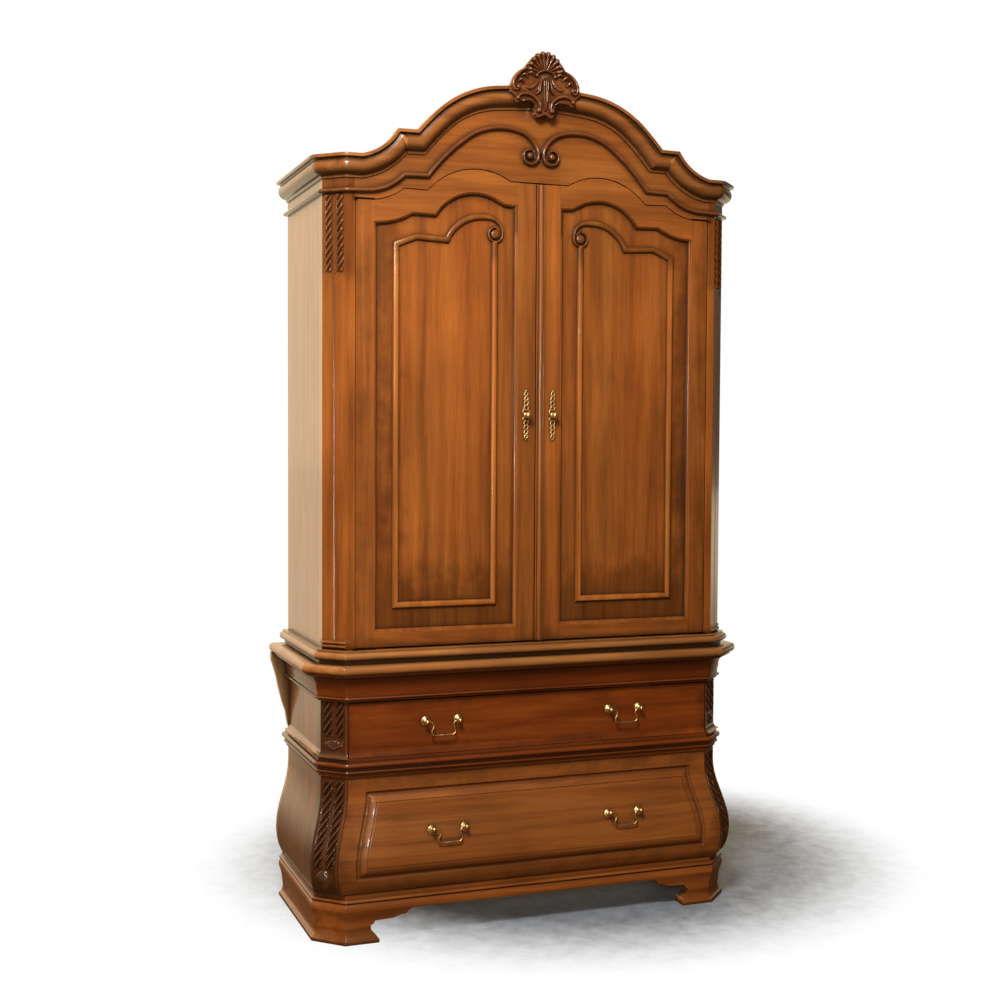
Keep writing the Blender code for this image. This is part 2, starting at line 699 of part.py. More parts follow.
# ---------------------------------------------------------------- doors
def leaf_outline():
    """Plan outline of a right-hand hinge leaf in x and depth, clockwise, and its eye."""
    start, end = math.radians(-35), math.radians(145)
    eye = []
    for step in range(9):
        angle = end + (start - end) * step / 8
        spoke = Vector((math.cos(angle), math.sin(angle))) * LEAF_EYE
        eye.append(Vector((PIVOT_X, PIVOT_D)) + spoke)
    bar_low, bar_high = LEAF_BAR_D
    return [
        Vector((LEAF_INNER_X, bar_low)), Vector((LEAF_INNER_X, bar_high)),
        Vector((LEAF_CORNER_X - LEAF_SLANT, bar_high)), *eye,
        Vector((LEAF_CORNER_X, LEAF_NOSE_D)), Vector((LEAF_CORNER_X, bar_low)),
    ]


def disc_points(centre, radius, count=10):
    """Regular outline of a small round hole."""
    angles = [2 * math.pi * step / count for step in range(count)]
    return [
        (centre[0] + radius * math.cos(angle), centre[1] + radius * math.sin(angle))
        for angle in angles
    ]


def make_hinge(level, direction):
    """Case leaf with its pin and door leaf with its hole; direction is up to the case leaf."""
    middle = HINGE_MIDDLE_Z[level]
    near = GAP / 2
    far = near + LEAF_THICKNESS
    case_z = sorted((middle + direction * near, middle + direction * far))
    door_z = sorted((middle - direction * near, middle - direction * far))
    outline = leaf_outline()
    hole = disc_points((PIVOT_X, PIVOT_D), PIN_HOLE)
    door_leaf = level_board(f"hinge_{level}_door_right", "brass", [outline, hole], door_z)
    case_leaf = level_board(f"hinge_{level}_case_right", "brass", [outline], case_z)
    pin_z = sorted((middle + direction * far / 2, middle - direction * far))
    pin_outline = disc_points((PIVOT_X, PIVOT_D), PIN_RADIUS)
    pin = level_board(f"pin_{level}", "brass", [pin_outline], pin_z)
    boolean(case_leaf, pin, "UNION")
    case_left = mirrored(case_leaf, f"hinge_{level}_case_left", "brass")
    door_left = mirrored(door_leaf, f"hinge_{level}_door_left", "brass")
    return door_leaf, door_left, case_leaf, case_left


def leaf_mortise(name, level, side):
    """Cutter that gives both leaves of one hinge their room."""
    reach = LEAF_THICKNESS + 2 * GAP
    middle = HINGE_MIDDLE_Z[level]
    outer_x, outer_d = MORTISE_REACH
    x_range = sorted((side * (LEAF_INNER_X - GAP), side * outer_x))
    d_range = (LEAF_BAR_D[0] - GAP, outer_d)
    return box(name, "brass", x_range, d_range, (middle - reach, middle + reach))


def make_door(side_name, side):
    """Frame, panel and applied moulding of one door; side is +1 on the right."""
    meeting = DOOR_MEETING[side_name]
    top = door_top_points(DOOR_OUTER)
    outer = [Vector((meeting, DOOR_Z0)), Vector((meeting, DOOR_TOP_MIDDLE))]
    outer += top + [Vector((DOOR_OUTER, DOOR_Z0))]
    opening = path_points(OPENING)
    rebate = offset_outline(opening, REBATE_WIDTH)
    panel = offset_outline(opening, REBATE_WIDTH - GAP)

    def placed(outline):
        return [Vector((side * point.x, point.y)) for point in outline]

    frame_outlines = [placed(outer), placed(opening)]
    frame = upright_board(f"door_frame_{side_name}", "cherry", frame_outlines, DOOR_D)
    for level in HINGE_MIDDLE_Z:
        name = f"door_mortise_{level}_{side_name}"
        boolean(frame, leaf_mortise(name, level, side), "DIFFERENCE")
    cutter_d = (DOOR_D[0] - 0.01, REBATE_FRONT)
    rebate_cutter = upright_board(f"rebate_{side_name}", "cherry", [placed(rebate)], cutter_d)
    boolean(frame, rebate_cutter, "DIFFERENCE")
    board = upright_board(f"door_panel_{side_name}", "cherry", [placed(panel)], PANEL_D)
    band = [placed(path_points(MOULDING_OUTER)), placed(path_points(MOULDING_INNER))]
    moulding = upright_board(f"panel_moulding_{side_name}", "cherry", band, MOULDING_D)
    return [frame, board, moulding]


def make_astragal():
    """Half-round bead on the right door, over the meeting seam."""
    low, high = ASTRAGAL_X
    back = DOOR_D[1] + GAP
    section = path_points([(low, back), (high, back, ASTRAGAL_PROUD)])
    astragal = level_board("astragal", "cherry", [section], ASTRAGAL_Z)
    shade_round(astragal)
    return astragal


def plate_half_width(height):
    """Half width of the pull plate at a distance from its middle."""
    mean, swing = PLATE_WAVE
    if height < LINK_START / 2:
        return PLATE_MIDDLE
    last = LINK_START + (LINK_COUNT - 1) * LINK_PITCH
    if height > last:
        reach = min((height - last) / (mean + swing), 1.0)
        return (mean + swing) * math.sqrt(1 - reach * reach)
    return mean + swing * math.cos(2 * math.pi * (height - LINK_START) / LINK_PITCH)


def make_door_pull(side_name):
    """Pierced plate and knob."""
    centre = Vector((PLATE_X[side_name], PLATE_Z))
    tip = LINK_START + (LINK_COUNT - 1) * LINK_PITCH + sum(PLATE_WAVE)
    heights = [step * tip / 24 for step in range(-24, 25)]
    right = [Vector((max(plate_half_width(abs(height)), 0.001), height)) for height in heights]
    left = [Vector((-point.x, point.y)) for point in reversed(right)]
    outline = [centre + point for point in right + left]
    holes = []
    for link in range(LINK_COUNT):
        for side in (-1, 1):
            middle = (centre.x, centre.y + side * (LINK_START + link * LINK_PITCH))
            holes.append(disc_points(middle, LINK_HOLE, 8))
    plate_d = (DOOR_D[1] + GAP, DOOR_D[1] + GAP + PLATE_THICKNESS)
    plate = upright_board(f"pull_plate_{side_name}", "brass", [outline, *holes], plate_d)
    knob = turned(f"door_knob_{side_name}", "brass", KNOB_PROFILE, 16)
    knob.location = at(centre.x, plate_d[1], centre.y)
    knob.rotation_euler = (math.radians(90), 0, 0)
    shade_round(knob)
    return [plate, knob]


# ---------------------------------------------------------------- chest parts
def chest_post_section(z):
    """Plan points of the right-hand post at a height."""
    swell, spread = bulge(z), flare(z)
    back_width, slant = CHEST_POST_REBATE
    (side_x, side_d), (front_x, front_d) = case_corners(CHEST_DEPTH, CHEST_CANT, spread)
    inner_x = CHEST_POST_INNER + swell
    section = [
        (side_x + swell, CHEST_POST_BACK), (side_x + swell, side_d + swell),
        (front_x + swell, front_d + swell), (inner_x, front_d + swell),
        (inner_x, CHEST_POST_BACK + slant),
        (HALF_WIDTH - back_width + swell, CHEST_POST_BACK),
    ]
    return [at(x, d, z) for x, d in section]


def chest_side_section(z):
    """Plan points of the right-hand side panel at a height."""
    outer = HALF_WIDTH + bulge(z) + flare(z)
    inner = HALF_WIDTH + bulge(z) - CHEST_SIDE_THICKNESS
    back, front = CHEST_SIDE_D
    return [at(inner, back, z), at(outer, back, z), at(outer, front, z), at(inner, front, z)]


def make_chest_case():
    """Sides, posts, back, divider and boards of the chest."""
    levels = chest_levels()
    side = lofted("chest_side_right", "cherry", [chest_side_section(z) for z in levels])
    mirrored(side, "chest_side_left", "cherry")
    post = lofted("chest_post_right", "cherry", [chest_post_section(z) for z in levels])
    mirrored(post, "chest_post_left", "cherry")

    edge = [(HALF_WIDTH + bulge(z), z) for z in levels if z < FLARE_Z[0] - 0.001]
    edge += BACK_WINGS
    outline = edge + [(-x, z) for x, z in reversed(edge)]
    upright_board("chest_back", "inside_wood", [outline], CHEST_BACK_D)

    back_width, slant = CHEST_POST_REBATE
    side_x = HALF_WIDTH - CHEST_SIDE_THICKNESS - GAP
    divider_edge = [
        (side_x, CHEST_BACK_D[1] + GAP), (side_x, CHEST_POST_BACK - 3 * NOTCH_ROOM / 2),
        (HALF_WIDTH - back_width - 3 * NOTCH_ROOM / 2, CHEST_POST_BACK - NOTCH_ROOM / 2),
        (DIVIDER_HALF, CHEST_POST_BACK + slant - NOTCH_ROOM / 2),
        (DIVIDER_HALF, DIVIDER_FRONT),
    ]
    divider = symmetric_level_board("drawer_divider", "inside_wood", divider_edge, DIVIDER_Z)
    rail_x = (-RAIL_HALF, RAIL_HALF)
    rail = box("divider_rail", "inside_wood", rail_x, DIVIDER_RAIL_D, DIVIDER_RAIL_Z)
    boolean(divider, rail, "UNION")
    moulded_slab("chest_base_board", "cherry", CHEST_DEPTH, CHEST_CANT, CHEST_BASE_LEVELS)
    moulded_slab("waist_board", "cherry", CHEST_DEPTH, CHEST_CANT, WAIST_LEVELS)


def wrapped_moulding(name, profile, back):
    """Moulding round the chest from (projection, height) points."""
    points, outs = wrap_path(CHEST_DEPTH, CHEST_CANT, 0.0, back=back)
    return swept(name, "cherry", points, outs, [(offset, -z) for offset, z in profile])


def make_chest_mouldings():
    """Middle belt, and the waist cove with the rail behind it."""
    wrapped_moulding("mid_belt", BELT_PROFILE, 0.0)
    sideways, upwards = COVE_RADII
    curve = []
    for z in between(COVE_START, COVE_FILLET_Z, COVE_STEPS):
        rise = (z - COVE_START) / upwards
        curve.append((COVE_FASCIA + sideways * (1 - math.sqrt(1 - rise * rise)), z))
    fillet = COVE_FASCIA + sideways - COVE_FILLET_SET
    top = COVE_Z[1]
    profile = COVE_BEAD + curve + [(fillet, COVE_FILLET_Z + COVE_FILLET_SET)]
    profile += [(fillet, top), (GAP, top)]
    cove = wrapped_moulding("waist_cove", profile, CHEST_BACK_D[1] + GAP)
    rail_d = (LOWER_DRAWER_BACK, CHEST_DEPTH + COVE_RAIL_REACH)
    rail = box("cove_rail", "cherry", (-RAIL_HALF, RAIL_HALF), rail_d, COVE_RAIL_Z)
    boolean(cove, rail, "UNION")


def make_bracket_base():
    """Moulded plinth frame with bracket feet, open at the back."""
    base = moulded_slab("bracket_base", "cherry", CHEST_DEPTH, CHEST_CANT, BRACKET_LEVELS)
    hollow_edge = [
        (HALF_WIDTH - BRACKET_WALL, -0.02),
        (HALF_WIDTH - BRACKET_WALL, CHEST_DEPTH - CHEST_CANT - BRACKET_WALL / 2),
        (HALF_WIDTH - CHEST_CANT - BRACKET_WALL / 2, CHEST_DEPTH - BRACKET_WALL),
    ]
    hollow_z = (-0.01, BRACKET_LEVELS[-1][0] + 0.01)
    hollow = symmetric_level_board("base_hollow", "cherry", hollow_edge, hollow_z)
    boolean(base, hollow, "DIFFERENCE")
    edge = path_points(APRON_EDGE)
    outline = edge + [Vector((-point.x, point.y)) for point in reversed(edge[1:])]
    gap_d = (CHEST_DEPTH - 2 * BRACKET_WALL, CHEST_DEPTH + 0.05)
    apron_gap = upright_board("apron_gap", "cherry", [outline], gap_d)
    boolean(base, apron_gap, "DIFFERENCE")
    return base


# ---------------------------------------------------------------- drawers
def make_drawer_box(name, z_range, front):
    """Open-topped drawer box behind its front."""
    half = DRAWER_BOX_HALF
    drawer = box(name, "inside_wood", (-half, half), (DRAWER_BACK, front - GAP), z_range)
    inner = half - DRAWER_WALL
    inner_d = (DRAWER_BACK + DRAWER_WALL, front - GAP - DRAWER_WALL)
    inner_z = (z_range[0] + DRAWER_BOTTOM, z_range[1] + 0.01)
    hollow = box(f"{name}_hollow", "inside_wood", (-inner, inner), inner_d, inner_z)
    boolean(drawer, hollow, "DIFFERENCE")
    return drawer


def make_upper_drawer_front():
    """Flat front with the coved foot that matches the posts."""
    low, high = UPPER_DRAWER_Z
    section = [(UPPER_DRAWER_BACK, low), (UPPER_DRAWER_BACK, high), (CHEST_DEPTH, high)]
    for z in reversed(between(low, FLARE_Z[1], 5)):
        section.append((CHEST_DEPTH + flare(z), z))
    rings = [[at(x, d, z) for d, z in section] for x in (-UPPER_DRAWER_HALF, UPPER_DRAWER_HALF)]
    return lofted("drawer_front_upper", "cherry", rings)


def panel_height(inside):
    """Height of the raised panel at a distance inside its edge."""
    if inside <= 0:
        return 0.0
    for (start, low), (end, high) in zip(PANEL_RISE, PANEL_RISE[1:]):
        if inside <= end:
            return low + (high - low) * (inside - start) / (end - start)
    return PANEL_RISE[-1][1]


def make_lower_drawer_front():
    """Bombe front with a raised panel, flat behind."""
    low, high = LOWER_DRAWER_Z
    panel_low, panel_high = PANEL_Z
    insets = [inside for inside, _ in PANEL_RISE]
    rows = between(low, panel_low, 3)[:-1] + [panel_low + inside for inside in insets]
    rows += between(panel_low + insets[-1], panel_high - insets[-1], 8)[1:-1]
    rows += [panel_high - inside for inside in reversed(insets)]
    rows += between(panel_high, high, 2)[1:]
    columns = [-PANEL_INSET, *insets]     # distance inside the panel's edge
    work = bmesh.new()
    front_rows, back_rows = [], []
    for z in rows:
        edge = LOWER_DRAWER_HALF + bulge(z)
        from_ends = min(z - panel_low, panel_high - z)
        row = []
        for side in (-1, 1):
            half_row = []
            for inside in columns:
                depth = CHEST_DEPTH + bulge(z) + panel_height(min(inside, from_ends))
                x = side * (edge - PANEL_INSET - inside)
                half_row.append(work.verts.new(at(x, depth, z)))
            row += half_row if side < 0 else reversed(half_row)
        front_rows.append(row)
        back_rows.append([work.verts.new(at(x, LOWER_DRAWER_BACK, z)) for x in (-edge, edge)])
    middle = (len(front_rows[0]) - 1) / 2
    for index, (row, above) in enumerate(zip(front_rows, front_rows[1:])):
        in_lower_half = rows[index] < sum(PANEL_Z) / 2
        for column in range(len(row) - 1):
            a, b = row[column], row[column + 1]
            c, d = above[column + 1], above[column]
            rising = (column < middle) == in_lower_half
            corners = ((a, b, c), (a, c, d)) if rising else ((a, b, d), (b, c, d))
            for corner in corners:
                work.faces.new(corner)
        back, back_above = back_rows[index], back_rows[index + 1]
        work.faces.new((back[1], back[0], back_above[0], back_above[1]))
        work.faces.new((back[0], row[0], above[0], back_above[0]))
        work.faces.new((row[-1], back[1], back_above[1], above[-1]))
    work.faces.new([back_rows[0][0], back_rows[0][1], *reversed(front_rows[0])])
    work.faces.new([back_rows[-1][1], back_rows[-1][0], *front_rows[-1]])
    bmesh.ops.recalc_face_normals(work, faces=work.faces)
    mesh = bpy.data.meshes.new("drawer_front_lower")
    work.to_mesh(mesh)
    work.free()
    return add_part("drawer_front_lower", mesh, "cherry")


# ---------------------------------------------------------------- bail pulls
def pull_frame(level, side):
    """Placement of a pull: x across, z out of the drawer face, y up the face."""
    z = PULL_Z[level]
    surface = CHEST_DEPTH
    tilt = 0.0
    if level == "lower":
        surface += bulge(z) + PANEL_RISE[-1][1]
        step = 0.001
        tilt = math.atan((bulge(z - step) - bulge(z + step)) / (2 * step))
    place = Matrix.Translation(at(side * PULL_X[level], surface, z))
    return place @ Matrix.Rotation(math.radians(90) - tilt, 4, "X")


def pull_post_mesh(side):
    """Post with the blind hole for the bail's pin; side is the post's side of the pull."""
    post = turned("pull_post", "brass", PULL_POST_PROFILE)
    post.location = (side * POST_SPACING / 2, 0, 0)
    start, end = 0.0, side * BAIL_HOLE_END
    work = bmesh.new()
    bmesh.ops.create_cone(
        work, cap_ends=True, segments=10, radius1=BAIL_HOLE, radius2=BAIL_HOLE,
        depth=abs(end - start))
    across = Matrix.Rotation(math.radians(90), 4, "Y")
    work.transform(Matrix.Translation(((start + end) / 2, 0, HEAD_REACH)) @ across)
    hole_mesh = bpy.data.meshes.new("pin_hole")
    work.to_mesh(hole_mesh)
    work.free()
    hole = add_part("pin_hole", hole_mesh, "brass")
    boolean(post, hole, "DIFFERENCE")
    mesh = evaluated_mesh(post)
    for thing in (post, hole):
        bpy.data.objects.remove(thing, do_unlink=True)
    return mesh


def bail_object(name):
    """Swan-necked bail as a bent wire that hangs from the origin."""
    half = [Vector((x, 0, z)) for x, z in BAIL_HALF]
    points = [Vector((-point.x, 0, point.z)) for point in half] + half[::-1]
    curve = bpy.data.curves.new(name, "CURVE")
    curve.dimensions = "3D"
    curve.bevel_depth = BAIL_RADIUS
    curve.bevel_resolution = 2
    curve.use_fill_caps = True
    spline = curve.splines.new("POLY")
    spline.points.add(len(points) - 1)
    for target, point in zip(spline.points, points):
        target.co = (*point, 1)
    bail = bpy.data.objects.new(name, curve)
    bpy.data.collections[PARTS].objects.link(bail)
    curve.materials.append(material_for(name, "brass"))
    return bail


def make_pulls(level):
    """Two bail pulls of one drawer; returns every piece of them."""
    pieces = []
    for side_name, side in (("left", -1), ("right", 1)):
        frame = pull_frame(level, side)
        for end_name, end in (("a", -1), ("b", 1)):
            name = f"pull_post_{level}_{side_name}_{end_name}"
            post = add_part(name, pull_post_mesh(end), "brass")
            post.matrix_world = frame
            shade_round(post)
            pieces.append(post)
        bail = bail_object(f"bail_{level}_{side_name}")
        bail.location = frame @ Vector((0, 0, HEAD_REACH))
        pieces.append(bail)
    return pieces


# ---------------------------------------------------------------- assembly
def gather(name, location, pieces):
    """Parent pieces to an empty without moving them."""
    handle = bpy.data.objects.new(name, None)
    bpy.data.collections[PARTS].objects.link(handle)
    handle.location = location
    bpy.context.view_layer.update()
    for piece in pieces:
        piece.parent = handle
        piece.matrix_parent_inverse = handle.matrix_world.inverted()


def cut_mortises(board, level):
    """Room for the case leaves in the board that holds them."""
    for side_name, side in (("left", -1), ("right", 1)):
        name = f"case_mortise_{level}_{side_name}"
        boolean(board, leaf_mortise(name, level, side), "DIFFERENCE")


def main():
    start_scene()
    cabinet_base = make_upper_case()
    cut_mortises(cabinet_base, "lower")
    pediment = make_pediment()
    cut_mortises(pediment, "upper")
    make_crown()
    make_crest()
    make_scroll_beads()

    doors = {"left": make_door("left", -1), "right": make_door("right", 1)}
    doors["right"].append(make_astragal())
    for side_name in doors:
        doors[side_name] += make_door_pull(side_name)
    for level, direction in (("upper", 1), ("lower", -1)):
        door_leaf, door_left, _, _ = make_hinge(level, direction)
        doors["right"].append(door_leaf)
        doors["left"].append(door_left)
    for side_name, side in (("left", -1), ("right", 1)):
        pivot = at(side * PIVOT_X, PIVOT_D, DOOR_Z0)
        gather(f"door_axis_{side_name}", pivot, doors[side_name])

    make_chest_case()
    make_chest_mouldings()
    make_bracket_base()
    fronts = {"upper": make_upper_drawer_front(), "lower": make_lower_drawer_front()}
    boxes = {"upper": (UPPER_BOX_Z, UPPER_DRAWER_BACK), "lower": (LOWER_BOX_Z, LOWER_DRAWER_BACK)}
    for level, front in fronts.items():
        box_part = make_drawer_box(f"drawer_box_{level}", *boxes[level])
        slide = at(0, CHEST_DEPTH, PULL_Z[level])
        gather(f"drawer_slide_{level}", slide, [front, box_part, *make_pulls(level)])


main()
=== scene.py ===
"""Looks of the armoire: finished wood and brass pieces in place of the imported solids.

Metres, +Z up, front towards -Y. A depth d is measured forwards from the back plane.
Outlines and profiles repeat the CAD's own, with rounder curves. Right-hand pieces are
made first, and the left-hand ones are their mirror images.
"""
import json
import math

import bmesh
import bpy
import numpy as np
from mathutils import Matrix, Vector

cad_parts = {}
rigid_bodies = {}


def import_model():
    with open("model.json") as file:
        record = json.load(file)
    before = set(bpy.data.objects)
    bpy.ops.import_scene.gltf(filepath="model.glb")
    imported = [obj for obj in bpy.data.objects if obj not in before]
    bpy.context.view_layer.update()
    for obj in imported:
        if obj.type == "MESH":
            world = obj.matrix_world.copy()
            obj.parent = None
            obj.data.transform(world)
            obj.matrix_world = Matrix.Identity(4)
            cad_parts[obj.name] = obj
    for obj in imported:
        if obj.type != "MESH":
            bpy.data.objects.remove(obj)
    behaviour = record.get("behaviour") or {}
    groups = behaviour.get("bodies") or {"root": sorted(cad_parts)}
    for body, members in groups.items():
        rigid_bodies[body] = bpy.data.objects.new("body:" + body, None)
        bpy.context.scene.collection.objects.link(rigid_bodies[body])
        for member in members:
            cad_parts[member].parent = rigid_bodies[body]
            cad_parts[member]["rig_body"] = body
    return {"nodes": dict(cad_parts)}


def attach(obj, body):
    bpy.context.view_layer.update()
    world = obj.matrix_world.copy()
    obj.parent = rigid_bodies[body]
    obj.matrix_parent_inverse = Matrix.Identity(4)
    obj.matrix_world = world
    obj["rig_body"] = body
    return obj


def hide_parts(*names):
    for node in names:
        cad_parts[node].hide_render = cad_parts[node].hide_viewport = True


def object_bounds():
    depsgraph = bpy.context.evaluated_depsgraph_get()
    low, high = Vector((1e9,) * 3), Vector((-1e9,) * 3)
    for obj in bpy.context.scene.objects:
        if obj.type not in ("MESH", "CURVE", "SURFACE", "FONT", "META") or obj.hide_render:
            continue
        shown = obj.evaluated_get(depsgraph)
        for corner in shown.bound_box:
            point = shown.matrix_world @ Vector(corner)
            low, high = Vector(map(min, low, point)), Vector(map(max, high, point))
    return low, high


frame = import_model()
CAD_BOX = [[float(value) for value in corner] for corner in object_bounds()]

# ---------------------------------------------------------------- general
BACK_Y = CAD_BOX[1][1]
GAP = 0.0003
ARC_STEPS = 14
CANT_GROWTH = 2 - math.sqrt(2)
SLANT = math.sqrt(0.5)
CORNER_EASE = 0.0024
RIGHTWARDS = Vector((1, 0, 0))
FORWARDS = Vector((0, -1, 0))
DIAGONAL = Vector((SLANT, -SLANT, 0))       # out of the right-hand canted face

# ---------------------------------------------------------------- upper case
HALF_WIDTH = 0.585
UPPER_DEPTH = 0.467
UPPER_CANT = 0.052
UPPER_Z = (0.7743, 2.045)
SIDE_THICKNESS = 0.018
POST_BACK = 0.375
POST_INNER = 0.5115
POST_REBATE = 0.440
POST_BACK_WIDTH = 0.025
PEDIMENT_D = (0.447, UPPER_DEPTH)
PEDIMENT_DROP = 0.005
CROWN_TOP = [
    (0.0, 2.2605), (0.130, 2.2525, 0.0015), (0.300, 2.175, 0.016), (0.352, 2.121, 0.001),
    (0.405, 2.1205), (0.500, 2.050, -0.0125),
]
CROWN_Z = 2.050
CROWN_PROFILE = [
    (GAP, 0.0), (0.0305, 0.0), (0.032, 0.0015, -0.0004), (0.032, 0.0078),
    (0.0305, 0.0092, -0.0004), (0.0245, 0.0098), (0.0222, 0.0122, 0.0006),
    (0.0226, 0.0142), (0.0090, 0.0498, -0.0102), (0.0055, 0.0508), (0.0046, 0.0525),
    (0.0046, 0.0574), (GAP, 0.0580),
]
BEAD_TOP = [
    (0.0015, 2.092), (0.0605, 2.1495, 0.011), (0.202, 2.1285, 0.0145),
    (0.320, 2.015, 0.0065), (0.3845, 2.0135), (0.470, 1.9685, -0.0085),
]
BEAD_Z = 1.9655
BEAD_SIZE = (0.0130, 0.0120)     # projection and height
VOLUTE_CENTRE = (0.0315, 2.081)
VOLUTE_RADII = (0.0305, 0.0175)
VOLUTE_ANGLES = (180, 470)
VOLUTE_EYE = 0.0112

# Carved crest: half outline from the top, clockwise.
CREST_HALF = [
    (0.0, 2.3535), (0.0245, 2.3455, 0.002), (0.0425, 2.331, 0.002), (0.053, 2.3195, 0.0015),
    (0.0625, 2.302, 0.002), (0.0795, 2.2895, 0.0015), (0.0925, 2.2735, 0.002),
    (0.103, 2.258, 0.001), (0.0965, 2.2355, 0.005), (0.088, 2.228), (0.0885, 2.2145, 0.003),
    (0.0715, 2.2125, 0.003), (0.0515, 2.222, -0.002), (0.033, 2.2185), (0.0305, 2.196),
    (0.0265, 2.181, 0.003), (0.0145, 2.177, 0.003), (0.0, 2.184),
]
CREST_D = (0.4803, 0.5002)
CREST_FRONT = 0.5118
SHELL_HUB = Vector((0.0, 2.2950))
# Ridges on the right half: (x, z) points, half width and rise at each.
CREST_LOBES = [
    # outer band of the side scroll, then the leaf tips inside it
    ([(0.0530, 2.3040), (0.0720, 2.2935), (0.0870, 2.2770), (0.0930, 2.2600),
      (0.0870, 2.2465), (0.0770, 2.2480)],
     (0.0030, 0.0050, 0.0056, 0.0056, 0.0048, 0.0030),
     (0.0090, 0.0115, 0.0120, 0.0120, 0.0110, 0.0100)),
    ([(0.0300, 2.2850), (0.0400, 2.2935), (0.0520, 2.2900)],
     (0.0020, 0.0052, 0.0020), (0.006, 0.0125, 0.006)),
    ([(0.0480, 2.2780), (0.0590, 2.2880), (0.0700, 2.2820)],
     (0.0020, 0.0054, 0.0020), (0.006, 0.0120, 0.006)),
    ([(0.0600, 2.2640), (0.0700, 2.2740), (0.0790, 2.2660)],
     (0.0020, 0.0050, 0.0020), (0.006, 0.0120, 0.006)),
    ([(0.0200, 2.2780), (0.0280, 2.2640), (0.0420, 2.2540), (0.0580, 2.2560)],
     (0.0015, 0.0050, 0.0056, 0.0015), (0.003, 0.0075, 0.0075, 0.003)),
    # long leaf strokes beside the stem
    ([(0.0110, 2.2800), (0.0150, 2.2620), (0.0190, 2.2460), (0.0300, 2.2350)],
     (0.0015, 0.0034, 0.0036, 0.0010), (0.006, 0.0115, 0.0115, 0.004)),
    # lower arm that rises from the foot and turns down into a curl
    ([(0.0150, 2.2020), (0.0180, 2.2160), (0.0310, 2.2300), (0.0500, 2.2370),
      (0.0690, 2.2350), (0.0790, 2.2260)],
     (0.0036, 0.0050, 0.0054, 0.0054, 0.0050, 0.0030),
     (0.0110, 0.0115, 0.0120, 0.0120, 0.0115, 0.0110)),
    ([(0.0270, 2.2120), (0.0400, 2.2220), (0.0560, 2.2220), (0.0660, 2.2180)],
     (0.0010, 0.0040, 0.0040, 0.0010), (0.003, 0.0070, 0.0070, 0.003)),
]
CREST_BALLS = [                  # x, z and radius of the curls' ends
    (0.0780, 2.2535, 0.0058), (0.0790, 2.2240, 0.0052), (0.0185, 2.1965, 0.0076),
    (0.0262, 2.2865, 0.0046),
]

# ---------------------------------------------------------------- doors
DOOR_D = (0.444, 0.466)
DOOR_Z0 = 0.7775
DOOR_OUTER = 0.5095
DOOR_MEETING = {"right": -0.0075, "left": 0.0095}
DOOR_TOP = [
    (0.083, 2.009), (0.112, 2.0235), (0.309, 1.9775, 0.031), (0.3175, 1.9715),
    (0.379, 1.973), (0.463, 1.9385, -0.0065),
]
DOOR_TOP_MIDDLE = 2.0085
DOOR_TOP_OUTER = 1.9395
HEADER_GAP = 0.0025
OPENING = [
    (0.0705, 0.825), (0.0705, 1.942), (0.098, 1.9425), (0.120, 1.9535), (0.290, 1.9055, 0.036),
    (0.3555, 1.907), (0.430, 1.880, -0.004), (0.4525, 1.8775), (0.4525, 0.825),
]
OPENING_TOP = 1.870              # height where the stiles meet the arched rail
STICKING_WIDTH = 0.008
# Sticking round the opening: distance outside its edge and depth.
STICKING_PROFILE = [
    (0.008, 0.4659), (0.0072, 0.4650), (0.0060, 0.4648), (0.0, 0.4585, -0.0016),
    (0.0, 0.4552), (0.0, 0.4500), (0.008, 0.4500),
]
PANEL_D = (0.447, 0.455)
MOULDING_BACK = PANEL_D[1] + GAP
MOULDING_HALF = 0.0118
# Middle line of the panel moulding, from the volute round to the volute again.
MOULDING_PATH = [
    (0.2605, 1.8480), (0.3440, 1.8525), (0.39975, 1.8305), (0.39975, 0.885),
    (0.12425, 0.885), (0.12425, 1.850),
]
MOULDING_ARC = ((0.1575, 1.9145), 0.0185)   # start of the arc and its sagitta
CURL_CENTRE = (0.1245, 1.8690)
CURL_EYE = 0.0135
CURL_EYE_RISE = (0.0016, 0.0062)  # flat rim and dome of the eye
CURL_TURN = 395                  # degrees that the moulding winds round the eye
CURL_SWING = 130                 # of these, the degrees in which it reaches its curl
CURL_RADIUS = 0.0208
CURL_CLOSING = 0.0035            # how much the radius shrinks over the whole turn
CURL_THINNING = 0.62
# Moulding section: across, from the inner to the outer edge, and height.
MOULDING_SECTION = [
    (-0.82, 0.0), (-0.82, 0.0008), (-0.74, 0.0034), (-0.60, 0.0057), (-0.38, 0.0072),
    (-0.12, 0.0078), (0.16, 0.0076), (0.38, 0.0066), (0.54, 0.0048), (0.66, 0.0022),
    (0.74, 0.0008), (0.74, 0.0),
]
ASTRAGAL_X = (-0.0075, 0.016)
ASTRAGAL_Z = (0.778, 2.006)
HINGE_Z = {"upper": DOOR_TOP_OUTER + HEADER_GAP / 2, "lower": 0.77575}
HINGE_ROOM = (0.4577, 0.4512, 0.0026)   # inner x, back depth and half height of a mortise
PLATE_X = {"right": 0.0415, "left": -0.036}
PLATE_Z = 1.3885
KNOB_PROFILE = [
    (0.0, 0.0265), (0.0052, 0.0256), (0.0084, 0.0226), (0.0095, 0.0185), (0.0086, 0.0150),
    (0.0052, 0.0122), (0.0040, 0.0095), (0.0043, 0.0060), (0.0062, 0.0042), (0.0080, 0.0034),
    (0.0084, 0.0022), (0.0078, 0.0010), (0.0078, GAP), (0.0, GAP),
]

